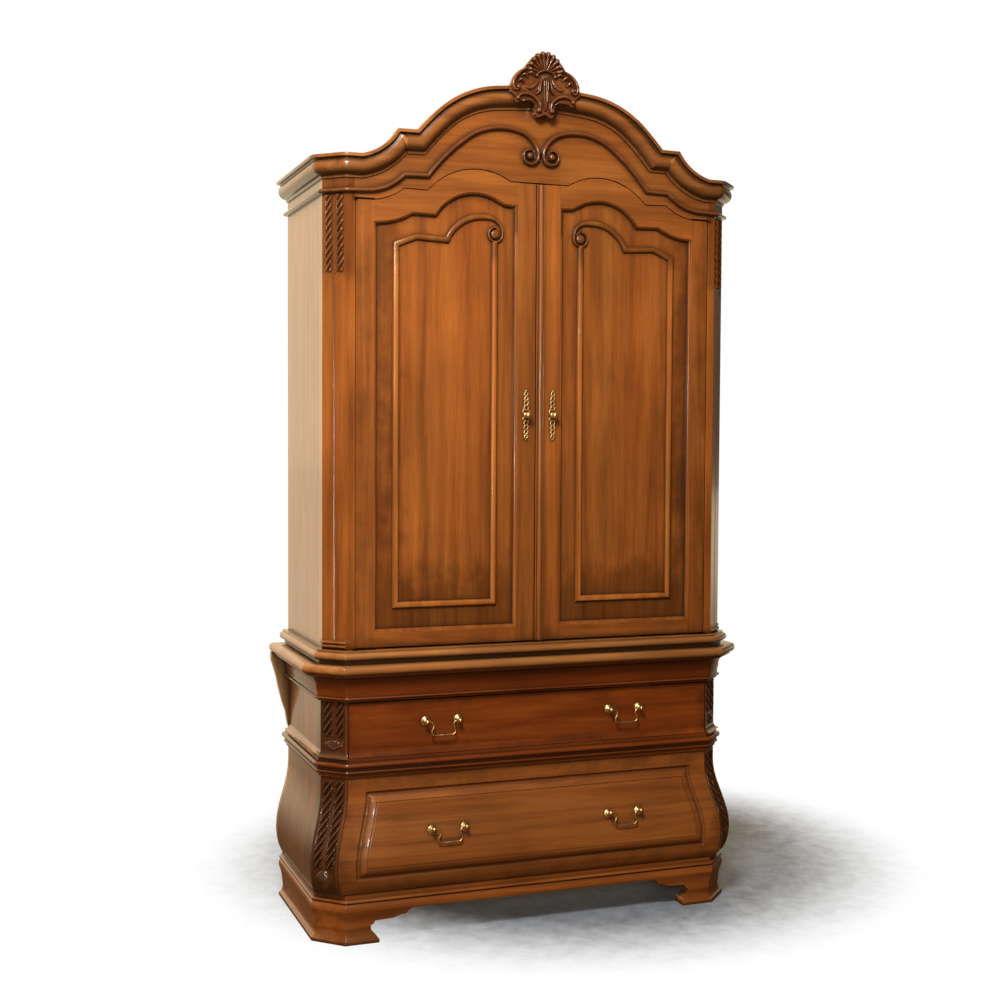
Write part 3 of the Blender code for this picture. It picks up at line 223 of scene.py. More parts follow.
# ---------------------------------------------------------------- chest
CHEST_DEPTH = 0.455
CHEST_CANT = 0.057
CHEST_Z = (0.1316, 0.7117)
BULGE = 0.036
BULGE_TOP = 0.400
BULGE_WIDEST = 0.205
BULGE_TUCK = 0.090
CHEST_SIDE_THICKNESS = 0.020
CHEST_SIDE_D = (0.0183, 0.3597)
CHEST_POST_BACK = 0.360
CHEST_POST_INNER = 0.5265
CHEST_POST_REBATE = (0.022, 0.015)
FLARE = 0.015
FLARE_Z = (0.4872, 0.505)
BELT_PROFILE = [
    (GAP, 0.437), (0.005, 0.437), (0.0055, 0.4448), (0.0092, 0.4462), (0.0092, 0.4548, -0.0036),
    (0.0100, 0.4558), (0.0100, 0.4612), (0.0140, 0.4622), (0.0140, 0.4760, -0.0050),
    (0.0088, 0.4776), (0.0080, 0.4866), (GAP, 0.4868),
]
COVE_PROFILE = [
    (GAP, 0.636), (0.0080, 0.636), (0.0080, 0.6412), (0.0135, 0.6422), (0.0140, 0.6476, -0.0020),
    (0.0100, 0.6490), (0.0096, 0.6570), (0.0130, 0.672), (0.0400, 0.7050, 0.0085),
    (0.0402, 0.7062), (0.0448, 0.7068), (0.0450, 0.7115), (GAP, 0.7115),
]
# Slabs: projection and height.
WAIST_PROFILE = [(0.047, 0.712), (0.051, 0.7138), (0.051, 0.7342, -0.0040), (0.047, 0.736)]
CABINET_BASE_PROFILE = [
    (0.010, 0.7366), (0.010, 0.7460), (0.0185, 0.7474), (0.0185, 0.7672, -0.0062),
    (0.0152, 0.7682), (0.015, 0.7740),
]
CHEST_BASE_PROFILE = [
    (0.022, 0.1073), (0.0225, 0.1085), (0.0225, 0.1180, -0.0042), (0.0185, 0.1196),
    (0.018, 0.1310),
]
BRACKET_PROFILE = [
    (0.026, 0.0), (0.028, 0.002, -0.0006), (0.028, 0.0085), (0.0262, 0.0115, -0.0004),
    (0.0225, 0.0125), (0.0180, 0.0400, 0.0035), (0.0270, 0.0860, 0.0022),
    (0.0240, 0.1070, -0.0024),
]
COVE_RAIL = (0.5255, 0.637, 0.711)          # half width, lowest and highest z
BRACKET_WALL = 0.022
APRON_EDGE = [
    (0.0, 0.084), (0.350, 0.084), (0.372, 0.067, 0.003), (0.404, 0.0595, 0.002),
    (0.457, 0.057), (0.468, 0.046, -0.003), (0.467, 0.030), (0.452, 0.013, -0.002),
    (0.447, 0.010), (0.447, -0.010),
]

# ---------------------------------------------------------------- drawers
UPPER_DRAWER_Z = (0.4885, 0.6315)
UPPER_DRAWER_HALF = 0.524
UPPER_DRAWER_BACK = 0.435
LOWER_DRAWER_Z = (0.134, 0.4355)
LOWER_DRAWER_HALF = 0.525
LOWER_DRAWER_BACK = 0.433
PANEL_INSET = 0.048
PANEL_Z = (0.169, 0.396)
# Raised panel: distance inside its edge and height above the drawer face.
PANEL_RISE = [
    (0.0, 0.0), (0.0020, -0.0034), (0.0045, -0.0052), (0.0090, -0.0052), (0.0115, -0.0034),
    (0.0130, -0.0012), (0.0190, 0.0014), (0.0260, 0.0043), (0.0282, 0.0048), (0.0292, 0.0034),
    (0.0318, 0.0034), (0.0335, 0.0043), (0.0360, 0.0045),
]
PULL_X = {"upper": 0.268, "lower": 0.257}
PULL_Z = {"upper": 0.573, "lower": 0.286}
POST_SPACING = 0.092
HEAD_REACH = 0.0195
PULL_POST_PROFILE = [
    (0.0, 0.0265), (0.0036, 0.0256), (0.0062, 0.0230), (0.0070, 0.0195), (0.0062, 0.0160),
    (0.0042, 0.0137), (0.0034, 0.0115), (0.0038, 0.0090), (0.0062, 0.0078), (0.0080, 0.0066),
    (0.0086, 0.0050), (0.0118, 0.0040), (0.0133, 0.0026), (0.0135, 0.0012), (0.0135, GAP),
    (0.0, GAP),
]
BAIL_HALF = [
    (0.0438, 0.0), (0.036, 0.0), (0.0312, -0.002), (0.028, -0.008), (0.0293, -0.016),
    (0.033, -0.024), (0.0322, -0.0308), (0.028, -0.0352), (0.021, -0.0365), (0.010, -0.0368),
]
BAIL_RADIUS = 0.0023

# ---------------------------------------------------------------- carved posts
STRAND_SLOPE = 1.45
STRAND_PLACE = 0.275             # middle of a strand, as a share of the face's width
UPPER_STRAND = (0.0205, 0.0094)  # pitch and half width
CHEST_STRAND = (0.0235, 0.0128)
CARVE_DEPTH = 0.0016
CARVE_RISE = 0.0070
GROOVE_DEPTH = 0.0016
GROOVE_HALF = 0.0017
LEAF_RISE = 0.0042
RIB_DEPTH = 0.0012
# Heights of the carved work on each post, and of the rows that are set close for it.
UPPER_STRANDS_Z = (1.729, 1.952)
UPPER_GROOVE_Z = (0.800, 1.730)
COLLARS = [(0.7755, 0.7870, 0.006), (0.7870, 0.7955, 0.0045), (1.9545, 1.9620, 0.0045)]
UPPER_ZONES = [(0.7750, 0.7965), (1.725, 1.963)]
CHEST_STRANDS_Z = [(0.514, 0.634), (0.178, 0.424)]
CHEST_LEAVES_Z = [(0.507, 0.532), (0.146, 0.200)]
CHEST_ZONES = [(0.144, 0.426), (0.5055, 0.636)]


# ---------------------------------------------------------------- outline helpers
def at(x, d, z):
    """World point at depth d in front of the back plane."""
    return Vector((x, BACK_Y - d, z))


def arc_between(start, end, sagitta, steps):
    """Points strictly between start and end on an arc that bows to the left of travel."""
    half = (end - start).length / 2
    radius = (half * half + sagitta * sagitta) / (2 * sagitta)
    left = Vector((start.y - end.y, end.x - start.x)).normalized()
    centre = (start + end) / 2 + left * (sagitta - radius)
    turn = -math.copysign(2 * math.asin(min(1.0, half / abs(radius))), sagitta)
    spoke = start - centre
    points = []
    for step in range(1, steps):
        angle = turn * step / steps
        cosine, sine = math.cos(angle), math.sin(angle)
        points.append(centre + Vector((
            spoke.x * cosine - spoke.y * sine,
            spoke.x * sine + spoke.y * cosine,
        )))
    return points


def path_points(entries, steps=ARC_STEPS):
    """Points through (u, v) corners; a third number bows the stretch that ends there."""
    points = [Vector(entries[0][:2])]
    for entry in entries[1:]:
        end = Vector(entry[:2])
        if len(entry) == 3:
            points += arc_between(points[-1], end, entry[2], steps)
        points.append(end)
    return points


def profile_points(entries, steps=6):
    """A moulding's section with its arcs in short steps."""
    return [tuple(point) for point in path_points(entries, steps)]


def offset_outline(points, distance):
    """Closed clockwise outline moved outwards by distance, with mitred corners."""
    moved = []
    for index, point in enumerate(points):
        before = (point - points[index - 1]).normalized()
        after = (points[(index + 1) % len(points)] - point).normalized()
        left_before = Vector((-before.y, before.x))
        left_after = Vector((-after.y, after.x))
        mitre = (left_before + left_after) / (1 + left_before.dot(left_after))
        moved.append(point + mitre * distance)
    return moved


def flipped(points):
    """Mirror image of the points in the middle plane, in reverse order."""
    images = [point.copy() for point in reversed(points)]
    for image in images:
        image.x = -image.x
    return images


def between(low, high, steps):
    """Evenly spaced values, both ends included."""
    return [low + (high - low) * step / steps for step in range(steps + 1)]


def smooth_path(points, steps=6):
    """Catmull-Rom curve through the points."""
    padded = [points[0], *points, points[-1]]
    curve = []
    for a, b, c, d in zip(padded, padded[1:], padded[2:], padded[3:]):
        for step in range(steps):
            t = step / steps
            curve.append(0.5 * (
                2 * b + (c - a) * t + (2 * a - 5 * b + 4 * c - d) * t * t
                + (3 * b - a - 3 * c + d) * t ** 3))
    return curve + [points[-1]]


# ---------------------------------------------------------------- mesh helpers
def cleaned(mesh):
    """The mesh with doubled points merged and its normals outwards."""
    work = bmesh.new()
    work.from_mesh(mesh)
    bmesh.ops.remove_doubles(work, verts=work.verts, dist=1e-6)
    bmesh.ops.recalc_face_normals(work, faces=work.faces)
    work.to_mesh(mesh)
    work.free()
    return mesh


def mesh_of(points, faces):
    """Mesh with outward normals from points and faces."""
    mesh = bpy.data.meshes.new("piece")
    mesh.from_pydata([tuple(point) for point in points], [], faces)
    return cleaned(mesh)


def baked(thing):
    """World-space mesh of an object with its modifiers; the object goes."""
    bpy.context.view_layer.update()
    graph = bpy.context.evaluated_depsgraph_get()
    mesh = bpy.data.meshes.new_from_object(thing.evaluated_get(graph))
    mesh.transform(thing.matrix_world)
    bpy.data.objects.remove(thing, do_unlink=True)
    return cleaned(mesh)


def holder(data, name="holder"):
    """Temporary object for a mesh or curve."""
    thing = bpy.data.objects.new(name, data)
    bpy.context.scene.collection.objects.link(thing)
    return thing


def joined(meshes):
    """One mesh out of several."""
    work = bmesh.new()
    for mesh in meshes:
        work.from_mesh(mesh)
    result = bpy.data.meshes.new("piece")
    work.to_mesh(result)
    work.free()
    return result


def mirrored(mesh):
    """Mirror image in the middle plane."""
    result = mesh.copy()
    result.transform(Matrix.Scale(-1, 4, Vector((1, 0, 0))))
    result.flip_normals()
    return result


def cut(mesh, tool):
    """Mesh minus a tool mesh."""
    target, cutter = holder(mesh), holder(tool)
    modifier = target.modifiers.new("cut", "BOOLEAN")
    modifier.operation = "DIFFERENCE"
    modifier.solver = "EXACT"
    modifier.object = cutter
    result = baked(target)
    bpy.data.objects.remove(cutter, do_unlink=True)
    return result


def flat_curve(outlines, thickness):
    """Mesh of flat outlines, the later ones holes, thickened about z = 0."""
    curve = bpy.data.curves.new("outline", "CURVE")
    curve.dimensions = "2D"
    curve.fill_mode = "BOTH"
    curve.extrude = thickness / 2
    for outline in outlines:
        spline = curve.splines.new("POLY")
        spline.points.add(len(outline) - 1)
        for target, point in zip(spline.points, outline):
            target.co = (point[0], point[1], 0, 1)
        spline.use_cyclic_u = True
    return baked(holder(curve))


def upright_board(outlines, depths):
    """Board whose outlines are drawn in x and z, between two depths."""
    return facing(flat_curve(outlines, depths[1] - depths[0]), 0, sum(depths) / 2, 0)


def level_board(outline, heights):
    """Board whose outline is drawn in x and depth, between two heights."""
    mesh = flat_curve([[(x, BACK_Y - d) for x, d in outline]], heights[1] - heights[0])
    mesh.transform(Matrix.Translation((0, 0, sum(heights) / 2)))
    return mesh


def facing(mesh, x, d, z):
    """The mesh moved to a point, with its own +Z turned forwards."""
    mesh.transform(Matrix.Translation(at(x, d, z)) @ Matrix.Rotation(math.radians(90), 4, "X"))
    return mesh


def block(x_range, d_range, z_range):
    """Plain block, for cutters and straight boards."""
    corners = [at(x, d, z) for z in z_range for x, d in (
        (x_range[0], d_range[0]), (x_range[1], d_range[0]),
        (x_range[1], d_range[1]), (x_range[0], d_range[1]))]
    faces = [(0, 1, 2, 3), (4, 7, 6, 5)]
    faces += [(i, i + 4, (i + 1) % 4 + 4, (i + 1) % 4) for i in range(4)]
    return mesh_of(corners, faces)


def lofted(rings, closed=False):
    """Solid through rings of equally many points, capped unless it closes on itself."""
    count = len(rings[0])
    points = [point for ring in rings for point in ring]
    faces = []
    last = len(rings) if closed else len(rings) - 1
    for row in range(last):
        here, there = row * count, (row + 1) % len(rings) * count
        for index in range(count):
            beside = (index + 1) % count
            faces.append((here + index, here + beside, there + beside, there + index))
    if not closed:
        faces.append(tuple(reversed(range(count))))
        faces.append(tuple(range((len(rings) - 1) * count, len(rings) * count)))
    return mesh_of(points, faces)


def mitred(direction, tangent, plane):
    """Direction slid along the tangent onto the mitre plane."""
    return direction - tangent * (direction.dot(plane) / tangent.dot(plane))


def swept(points, outs, profile, closed=False, widths=None):
    """The (out, down) profile carried along the points with mitred joints."""
    following = points[1:] + ([points[0]] if closed else [])
    tangents = [(end - start).normalized() for start, end in zip(points, following)]
    rings = []
    for index, point in enumerate(points):
        segment = index - 1 if closed else max(index - 1, 0)
        before = tangents[segment]
        after = tangents[min(index, len(tangents) - 1)]
        out = mitred(outs[segment], before, before + after)
        down = mitred(before.cross(outs[segment]), before, before + after)
        width = widths[index] if widths else 1.0
        rings.append([point + out * a + down * b * width for a, b in profile])
    return lofted(rings, closed)


def turned(profile, steps=28):
    """Solid of revolution about +Z from (radius, height) points, tip first."""
    rings, faces = [], []
    inner = [entry for entry in profile if entry[0] > 0]
    for radius, height in inner:
        for step in range(steps):
            angle = 2 * math.pi * step / steps
            rings.append((radius * math.cos(angle), radius * math.sin(angle), height))
    for row in range(len(inner) - 1):
        for step in range(steps):
            beside = (step + 1) % steps
            a, b = row * steps, (row + 1) * steps
            faces.append((a + step, a + beside, b + beside, b + step))
    rings.append((0, 0, profile[0][1]))
    tip = len(rings) - 1
    faces += [(tip, (step + 1) % steps, step) for step in range(steps)]
    faces.append(tuple(range((len(inner) - 1) * steps, len(inner) * steps)))
    return mesh_of(rings, faces)


def tube(points, radii, steps=14):
    """Round rod along the points, with a radius at each of them."""
    rings = []
    for index, point in enumerate(points):
        tangent = points[min(index + 1, len(points) - 1)] - points[max(index - 1, 0)]
        tangent.normalize()
        across = tangent.cross(FORWARDS).normalized()
        out = across.cross(tangent)
        ring = []
        for step in range(steps):
            angle = 2 * math.pi * step / steps
            spoke = across * math.cos(angle) + out * math.sin(angle)
            ring.append(point + spoke * radii[index])
        rings.append(ring)
    return lofted(rings)


# ---------------------------------------------------------------- materials
class Tree:
    """Short way to build the nodes of a material or a world."""

    def __init__(self, owner, shader="Principled BSDF"):
        self.owner = owner
        owner.use_nodes = True
        self.tree = owner.node_tree
        self.shader = self.tree.nodes[shader]

    def node(self, kind, inputs=(), **settings):
        """New node; inputs may be sockets to link or plain values."""
        made = self.tree.nodes.new(kind)
        for key, value in settings.items():
            setattr(made, key, value)
        for key, value in dict(inputs).items():
            if isinstance(value, bpy.types.NodeSocket):
                self.tree.links.new(value, made.inputs[key])
            else:
                made.inputs[key].default_value = value
        return made

    def link(self, output, key):
        """Link an output to one of the shader's inputs."""
        self.tree.links.new(output, self.shader.inputs[key])

    def place(self):
        """Point in the object's own space, which is world space at rest."""
        return self.node("ShaderNodeTexCoord").outputs["Object"]

    def part(self, vector, axis):
        """One coordinate of a vector."""
        return self.node("ShaderNodeSeparateXYZ", {"Vector": vector}).outputs[axis]

    def ease(self, value, low, high, top=1.0):
        """Smooth step from 0 at low to top at high."""
        return self.node("ShaderNodeMapRange", {
            "Value": value, "From Min": low, "From Max": high, "To Max": top},
            interpolation_type="SMOOTHSTEP").outputs["Result"]

    def openness(self, distance, samples, inside=False):
        """Ambient occlusion: 1 in the open, less in hollows, or on edges when inside."""
        return self.node("ShaderNodeAmbientOcclusion", {"Distance": distance},
                         samples=samples, inside=inside).outputs["AO"]

    def bump(self, height, strength, distance):
        """Fine relief on the shader's normal."""
        normal = self.node("ShaderNodeBump", {
            "Height": height, "Strength": strength, "Distance": distance}).outputs["Normal"]
        self.link(normal, "Normal")

    def settings(self, **values):
        """Plain values of the shader, with _ for the blanks in their names."""
        for key, value in values.items():
            self.shader.inputs[key.replace("_", " ")].default_value = value

    def noise(self, vector, scale, detail=3.0, roughness=0.5, distortion=0.0):
        """Grey noise."""
        return self.node("ShaderNodeTexNoise", {
            "Vector": vector, "Scale": scale, "Detail": detail, "Roughness": roughness,
            "Distortion": distortion}).outputs["Fac"]

    def remap(self, value, low, high, to_low, to_high):
        """Value carried from one range to another and held there."""
        return self.node("ShaderNodeMapRange", {
            "Value": value, "From Min": low, "From Max": high,
            "To Min": to_low, "To Max": to_high}).outputs["Result"]

    def maths(self, operation, a, b):
        """Sum, product or the like of two values."""
        return self.node("ShaderNodeMath", {0: a, 1: b}, operation=operation).outputs[0]

    def multiply(self, colour, factor):
        """Colour times a grey value."""
        return self.node("ShaderNodeVectorMath", {0: colour, "Scale": factor},
                         operation="SCALE").outputs["Vector"]

    def mix(self, factor, a, b, blend="MIX"):
        """Colour between a and b; these are sockets 6 and 7 of a colour mix."""
        return self.node("ShaderNodeMix", {0: factor, 6: a, 7: b}, data_type="RGBA",
                         blend_type=blend).outputs[2]

    def ramp(self, value, stops):
        """Colour ramp with (position, colour) stops."""
        made = self.node("ShaderNodeValToRGB", {"Fac": value})
        elements = made.color_ramp.elements
        while len(elements) < len(stops):
            elements.new(0.5)
        for element, (position, colour) in zip(elements, stops):
            element.position = position
            element.color = colour
        return made.outputs["Color"]


def shade(red, green, blue):
    """Linear colour of an sRGB colour given in 0 to 255."""
    linear = []
    for value in (red, green, blue):
        value /= 255
        linear.append(value / 12.92 if value <= 0.04045 else ((value + 0.055) / 1.055) ** 2.4)
    return (*linear, 1.0)


WOODS = {                        # dark, middle and light tone of the grain
    "cherry": (shade(104, 55, 25), shade(147, 85, 37), shade(174, 109, 51)),
    "golden": (shade(128, 70, 28), shade(172, 102, 42), shade(200, 130, 60)),
    "umber": (shade(96, 54, 27), shade(140, 86, 43), shade(172, 114, 64)),
    "tan": (shade(122, 74, 38), shade(164, 108, 60), shade(196, 140, 84)),
    "shadowed": (shade(60, 32, 16), shade(82, 46, 24), shade(106, 64, 36)),
    "deep": (shade(88, 37, 12), shade(125, 59, 19), shade(154, 80, 30)),
    "glazed": (shade(86, 48, 25), shade(116, 68, 38), shade(146, 94, 56)),
    # Paler wood for the chest back, partly real paler wood and partly a painted reflection like
    # the sheen on the sides.
    "pale": (shade(156, 112, 70), shade(178, 134, 90), shade(198, 154, 108)),
    "inside": (shade(150, 104, 60), shade(182, 134, 84), shade(206, 164, 112)),
}
# Dark glaze colour, also laid on as painted shade in hollows and on faces that look down.
GLAZE_AND_SHADE = shade(46, 27, 13)
# Glaze and painted shade in hollows: reach, the openness where it is full and where it ends, and
# strength.
HOLLOW_GLAZE_AND_SHADE = ((0.014, 0.42, 0.95, 0.92), (0.055, 0.40, 1.0, 0.60))
PLAIN_WEAR_AND_SHEEN = 0.003               # how far in from an edge the wood is rubbed paler, partly real wear and partly painted highlight
CARVED_WEAR_AND_GLINT = 0.0065             # from here on it counts as carving, whose ridges get a brighter painted highlight
WEAR_AND_HIGHLIGHT_BRIGHTNESS = (1.9, 3.0)     # of plain edges and of carving, as wear and painted highlight
EDGE_DARKNESS = 0.30
PLAIN_GLOSS = 0.30               # roughness up to which the lacquer keeps its full coat
FULL_COAT = 0.5
# Darkened edges, partly a hand-darkened finish and partly painted shade (under the arched tops,
# low on panels and sides): half width, lowest and highest z, reach inwards and strength.
DARK_EDGES_AND_SHADE = {
    "door frame": (0.514, 0.775, 2.20, 0.055, 0.50),
    "door panel": (0.450, 0.930, 2.00, 0.090, 0.70),
    "chest side": (2.000, 0.340, 3.00, 0.100, 0.60),
    "panel moulding": (0.700, 0.500, 1.815, 0.040, 0.70),
    "sticking": (0.700, 0.500, 1.880, 0.030, 0.80),
    "upper drawer": (0.530, 0.482, 0.638, 0.040, 0.60),
    "lower drawer": (0.560, 0.128, 0.438, 0.060, 0.62),
    "cabinet post": (0.700, 0.770, 1.760, 0.050, 0.55),
}
GRAIN_STRETCH = {"X": (0.055, 1, 1), "Y": (1, 0.055, 1), "Z": (1, 1, 0.055)}
FIBRE_STRETCH = {"X": (0.018, 1, 1), "Y": (1, 0.018, 1), "Z": (1, 1, 0.018)}
made_woods = {}


def dark_edge_and_shade(tree, place, colour, kind):
    """Colour darkened towards the sides, bottom and top of a mirrored region: partly a darker
    finish, partly painted shade.
    """
    half, low, high, reach, strength = DARK_EDGES_AND_SHADE[kind]
    aside = tree.node("ShaderNodeMath", {0: tree.part(place, "X")}, operation="ABSOLUTE")
    sideways = tree.maths("SUBTRACT", aside.outputs[0], half)
    height = tree.part(place, "Z")
    upwards = tree.maths("MAXIMUM", tree.maths("SUBTRACT", low, height),
                         tree.maths("SUBTRACT", height, high))
    outside = tree.maths("MAXIMUM", sideways, upwards)
    wander = tree.remap(tree.noise(place, 13.0, 3.0, 0.6), 0.3, 0.7, -0.5 * reach, 0.5 * reach)
    cover = tree.ease(tree.maths("ADD", outside, wander), -reach, 0.3 * reach, strength)
    return tree.mix(cover, colour, tree.multiply(colour, EDGE_DARKNESS))


def grain_colour(tree, tone, place, along, fibres):
    """Streaks, blotches, pores and flecks of one wood, and the noises its bump uses."""
    dark, middle, light = WOODS[tone]
    streaks = tree.noise(along, 34.0, 5.0, 0.60, 0.5)
    colour = tree.ramp(streaks, [(0.20, dark), (0.50, middle), (0.82, light)])
    fine = tree.noise(fibres, 420.0, 3.0, 0.6)
    colour = tree.multiply(colour, tree.remap(fine, 0.3, 0.7, 0.90, 1.09))
    blotch = tree.noise(place, 3.6, 2.0, 0.5, 0.4)
    colour = tree.multiply(colour, tree.remap(blotch, 0.3, 0.7, 0.84, 1.14))
    patch = tree.noise(along, 7.0, 3.0, 0.5, 0.3)
    hue = tree.ramp(patch, [(0.36, (0.95, 0.98, 1.0, 1)), (0.66, (1.05, 0.96, 0.88, 1))])
    colour = tree.mix(1.0, colour, hue, "MULTIPLY")
    pores = tree.noise(fibres, 1500.0, 1.0, 0.5)
    colour = tree.multiply(colour, tree.remap(pores, 0.58, 0.72, 1.0, 0.74))
    fleck = tree.noise(place, 150.0, 2.0, 0.6)
    colour = tree.multiply(colour, tree.remap(fleck, 0.70, 0.76, 1.0, 0.5))
    return colour, fine, pores


def glazed_colour(tree, colour, glaze, wear):
    """Dark glaze and painted shade in hollows, painted shade on faces that look down, and edges
    lightened by wear and painted highlight.
    """
    for distance, low, high, strength in HOLLOW_GLAZE_AND_SHADE:
        cover = tree.remap(tree.openness(distance, 5), low, high, glaze * strength, 0.0)
        colour = tree.mix(cover, colour, GLAZE_AND_SHADE)
    # Painted shade: faces that look down are darkened towards the glaze colour.
    facing_up = tree.part(tree.node("ShaderNodeNewGeometry").outputs["Normal"], "Z")
    colour = tree.mix(tree.remap(facing_up, -0.85, -0.12, 0.60 * glaze, 0.0), colour, GLAZE_AND_SHADE)
    # Edges lightened: partly real wear, partly painted highlight, strongest on carved ridges as
    # painted glints.
    worn_and_highlit = tree.remap(tree.openness(wear, 4, inside=True), 0.30, 0.75, 0.60 * glaze, 0.0)
    brightness = WEAR_AND_HIGHLIGHT_BRIGHTNESS[wear >= CARVED_WEAR_AND_GLINT]
    return tree.mix(worn_and_highlit, colour, tree.multiply(colour, brightness))


def wood(tone="cherry", grain="Z", seed=0, glaze=1.0, gloss=PLAIN_GLOSS, edges=None,
         wear=PLAIN_WEAR_AND_SHEEN):
    """Stained, glazed and lacquered wood with its grain along one axis, with painted shade in
    hollows and on downward faces, painted highlight on rubbed edges, and painted shade near given
    edges.
    """
    key = (tone, grain, seed, glaze, gloss, edges, wear)
    if key in made_woods:
        return made_woods[key]
    tree = Tree(bpy.data.materials.new(f"{tone}_wood_{grain}_{seed}"))
    place = tree.place()
    shift = (0.37 * seed, 0.61 * seed, 0.83 * seed)
    along, fibres = [tree.node("ShaderNodeMapping", {
        "Vector": place, "Location": shift, "Scale": stretch[grain]}).outputs["Vector"]
        for stretch in (GRAIN_STRETCH, FIBRE_STRETCH)]
    colour, fine, pores = grain_colour(tree, tone, place, along, fibres)
    if edges:
        colour = dark_edge_and_shade(tree, place, colour, edges)
    colour = glazed_colour(tree, colour, glaze, wear)
    tree.link(colour, "Base Color")
    tree.link(tree.remap(fine, 0.3, 0.7, gloss + 0.07, gloss - 0.03), "Roughness")
    tree.bump(tree.maths("ADD", fine, tree.maths("MULTIPLY", pores, 0.5)), 0.10, 0.0006)
    coat = 0.0 if tone == "inside" else max(0.0, FULL_COAT - 3.0 * max(0.0, gloss - PLAIN_GLOSS))
    tree.settings(Specular_IOR_Level=0.35, Coat_Weight=coat, Coat_Roughness=0.10)
    made_woods[key] = tree.owner
    return tree.owner


def aged_brass(name, low, middle, high):
    """Cast brass with brown patina left in its hollows."""
    tree = Tree(bpy.data.materials.new(name))
    place = tree.place()
    cloud = tree.noise(place, 90.0, 4.0, 0.6)
    colour = tree.ramp(cloud, [(0.30, low), (0.55, middle), (0.75, high)])
    cover = tree.remap(tree.openness(0.006, 6), 0.25, 0.70, 0.75, 0.0)
    colour = tree.mix(cover, colour, shade(66, 38, 16))
    tree.link(colour, "Base Color")
    tree.link(tree.remap(cloud, 0.3, 0.7, 0.44, 0.32), "Roughness")
    tree.bump(tree.noise(place, 900.0, 2.0, 0.5), 0.12, 0.0003)
    tree.settings(Metallic=1.0)
    return tree.owner


BRASS = aged_brass("antique_brass", shade(214, 170, 108), shade(240, 204, 146),
                   shade(253, 230, 182))
BRONZE = aged_brass("hinge_bronze", shade(64, 36, 18), shade(84, 50, 26), shade(104, 66, 36))
SLOTS = {tone: "cherry" for tone in ("cherry", "golden", "umber", "tan", "deep")}
SLOTS.update(glazed="dark_cherry", shadowed="dark_cherry", inside="inside_wood")


# ---------------------------------------------------------------- placing pieces
def show(name, mesh, nodes, material, slot, crease=35, bevel=0.0):
    """A finished piece that rides with its CAD nodes' body and stands for them."""
    piece = bpy.data.objects.new(name, mesh)
    bpy.context.scene.collection.objects.link(piece)
    mesh.materials.clear()
    mesh.materials.append(material)
    mesh.shade_smooth()
    mesh.set_sharp_from_angle(angle=math.radians(crease))
    if bevel:
        rounding = piece.modifiers.new("eased_edges", "BEVEL")
        rounding.width = bevel
        rounding.segments = 2
        rounding.limit_method = "ANGLE"
        rounding.angle_limit = math.radians(crease)
        rounding.harden_normals = True
    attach(piece, frame["nodes"][nodes[0]]["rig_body"])
    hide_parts(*nodes)
    return piece


def show_wood(name, mesh, nodes, tone="cherry", grain="Z", seed=0, **settings):
    """A wooden piece; wood settings glaze, gloss, edges and wear may be given."""
    looks = {key: settings.pop(key) for key in ("glaze", "gloss", "edges", "wear")
             if key in settings}
    material = wood(tone, grain, seed, **looks)
    return show(name, mesh, nodes, material, SLOTS[tone], **settings)


def show_brass(name, mesh, node):
    """A brass piece that stands for one node."""
    return show(name, mesh, [node], BRASS, "antique_brass", crease=60)


def show_pair(name, mesh, nodes, seed=0, **settings):
    """A right-hand wooden piece and its mirror image on the left."""
    other = mirrored(mesh)
    show_wood(f"{name}_right", mesh, [f"{node}_right" for node in nodes], seed=seed, **settings)
    show_wood(f"{name}_left", other, [f"{node}_left" for node in nodes], seed=seed + 1, **settings)


# ---------------------------------------------------------------- plan of the cases
def case_corners(depth, cant, offset=0.0):
    """The two corners of the canted face on the right, back one first."""
    width = HALF_WIDTH + offset
    front = depth + offset
    corner = cant + CANT_GROWTH * offset
    return (width, front - corner), (width - corner, front)


def wrap_path(depth, cant, z, front=(), back=0.0):
    """Points and outward directions round a case, from back left to back right."""
    (side_x, side_d), (front_x, front_d) = case_corners(depth, cant)
    right = [at(front_x, front_d, z), at(side_x, side_d, z), at(side_x, back, z)]
    left = flipped(right)
    middle = [at(u, front_d, v) for u, v in front]
    outs = [-RIGHTWARDS, Vector((-SLANT, -SLANT, 0))]
    outs += [FORWARDS] * (len(middle) + 1) + [DIAGONAL, RIGHTWARDS]
    return left + middle + right, outs


def eased(points, outs):
    """Path and outward directions with every plan corner rounded a little."""
    new_points, new_outs = [points[0]], [outs[0]]
    for index in range(1, len(points) - 1):
        point, before, after = points[index], outs[index - 1], outs[index]
        turn = before.angle(after)
        if turn < math.radians(30):
            new_points.append(point)
            new_outs.append(after)
            continue
        start = point - (point - points[index - 1]).normalized() * CORNER_EASE
        end = point + (points[index + 1] - point).normalized() * CORNER_EASE
        radius = CORNER_EASE / math.tan(turn / 2)
        middle_out = (before + after).normalized()
        new_points += [start, start + (middle_out - before) * radius, end]
        new_outs += [(before + middle_out).normalized(), (middle_out + after).normalized(), after]
    return new_points + [points[-1]], new_outs


def moulded_slab(depth, cant, profile):
    """Level board whose edge follows a (projection, height) profile on three sides."""
    rings = []
    for offset, z in profile_points(profile, 8):
        (side_x, side_d), (front_x, front_d) = case_corners(depth, cant, offset)
        plan = [at(side_x, 0.0, z), at(side_x, side_d, z), at(front_x, front_d, z),
                at(0, front_d, z)]
        right = eased(plan, [RIGHTWARDS, DIAGONAL, FORWARDS])[0][:-1]
        rings.append(right + flipped(right))
    return lofted(rings)


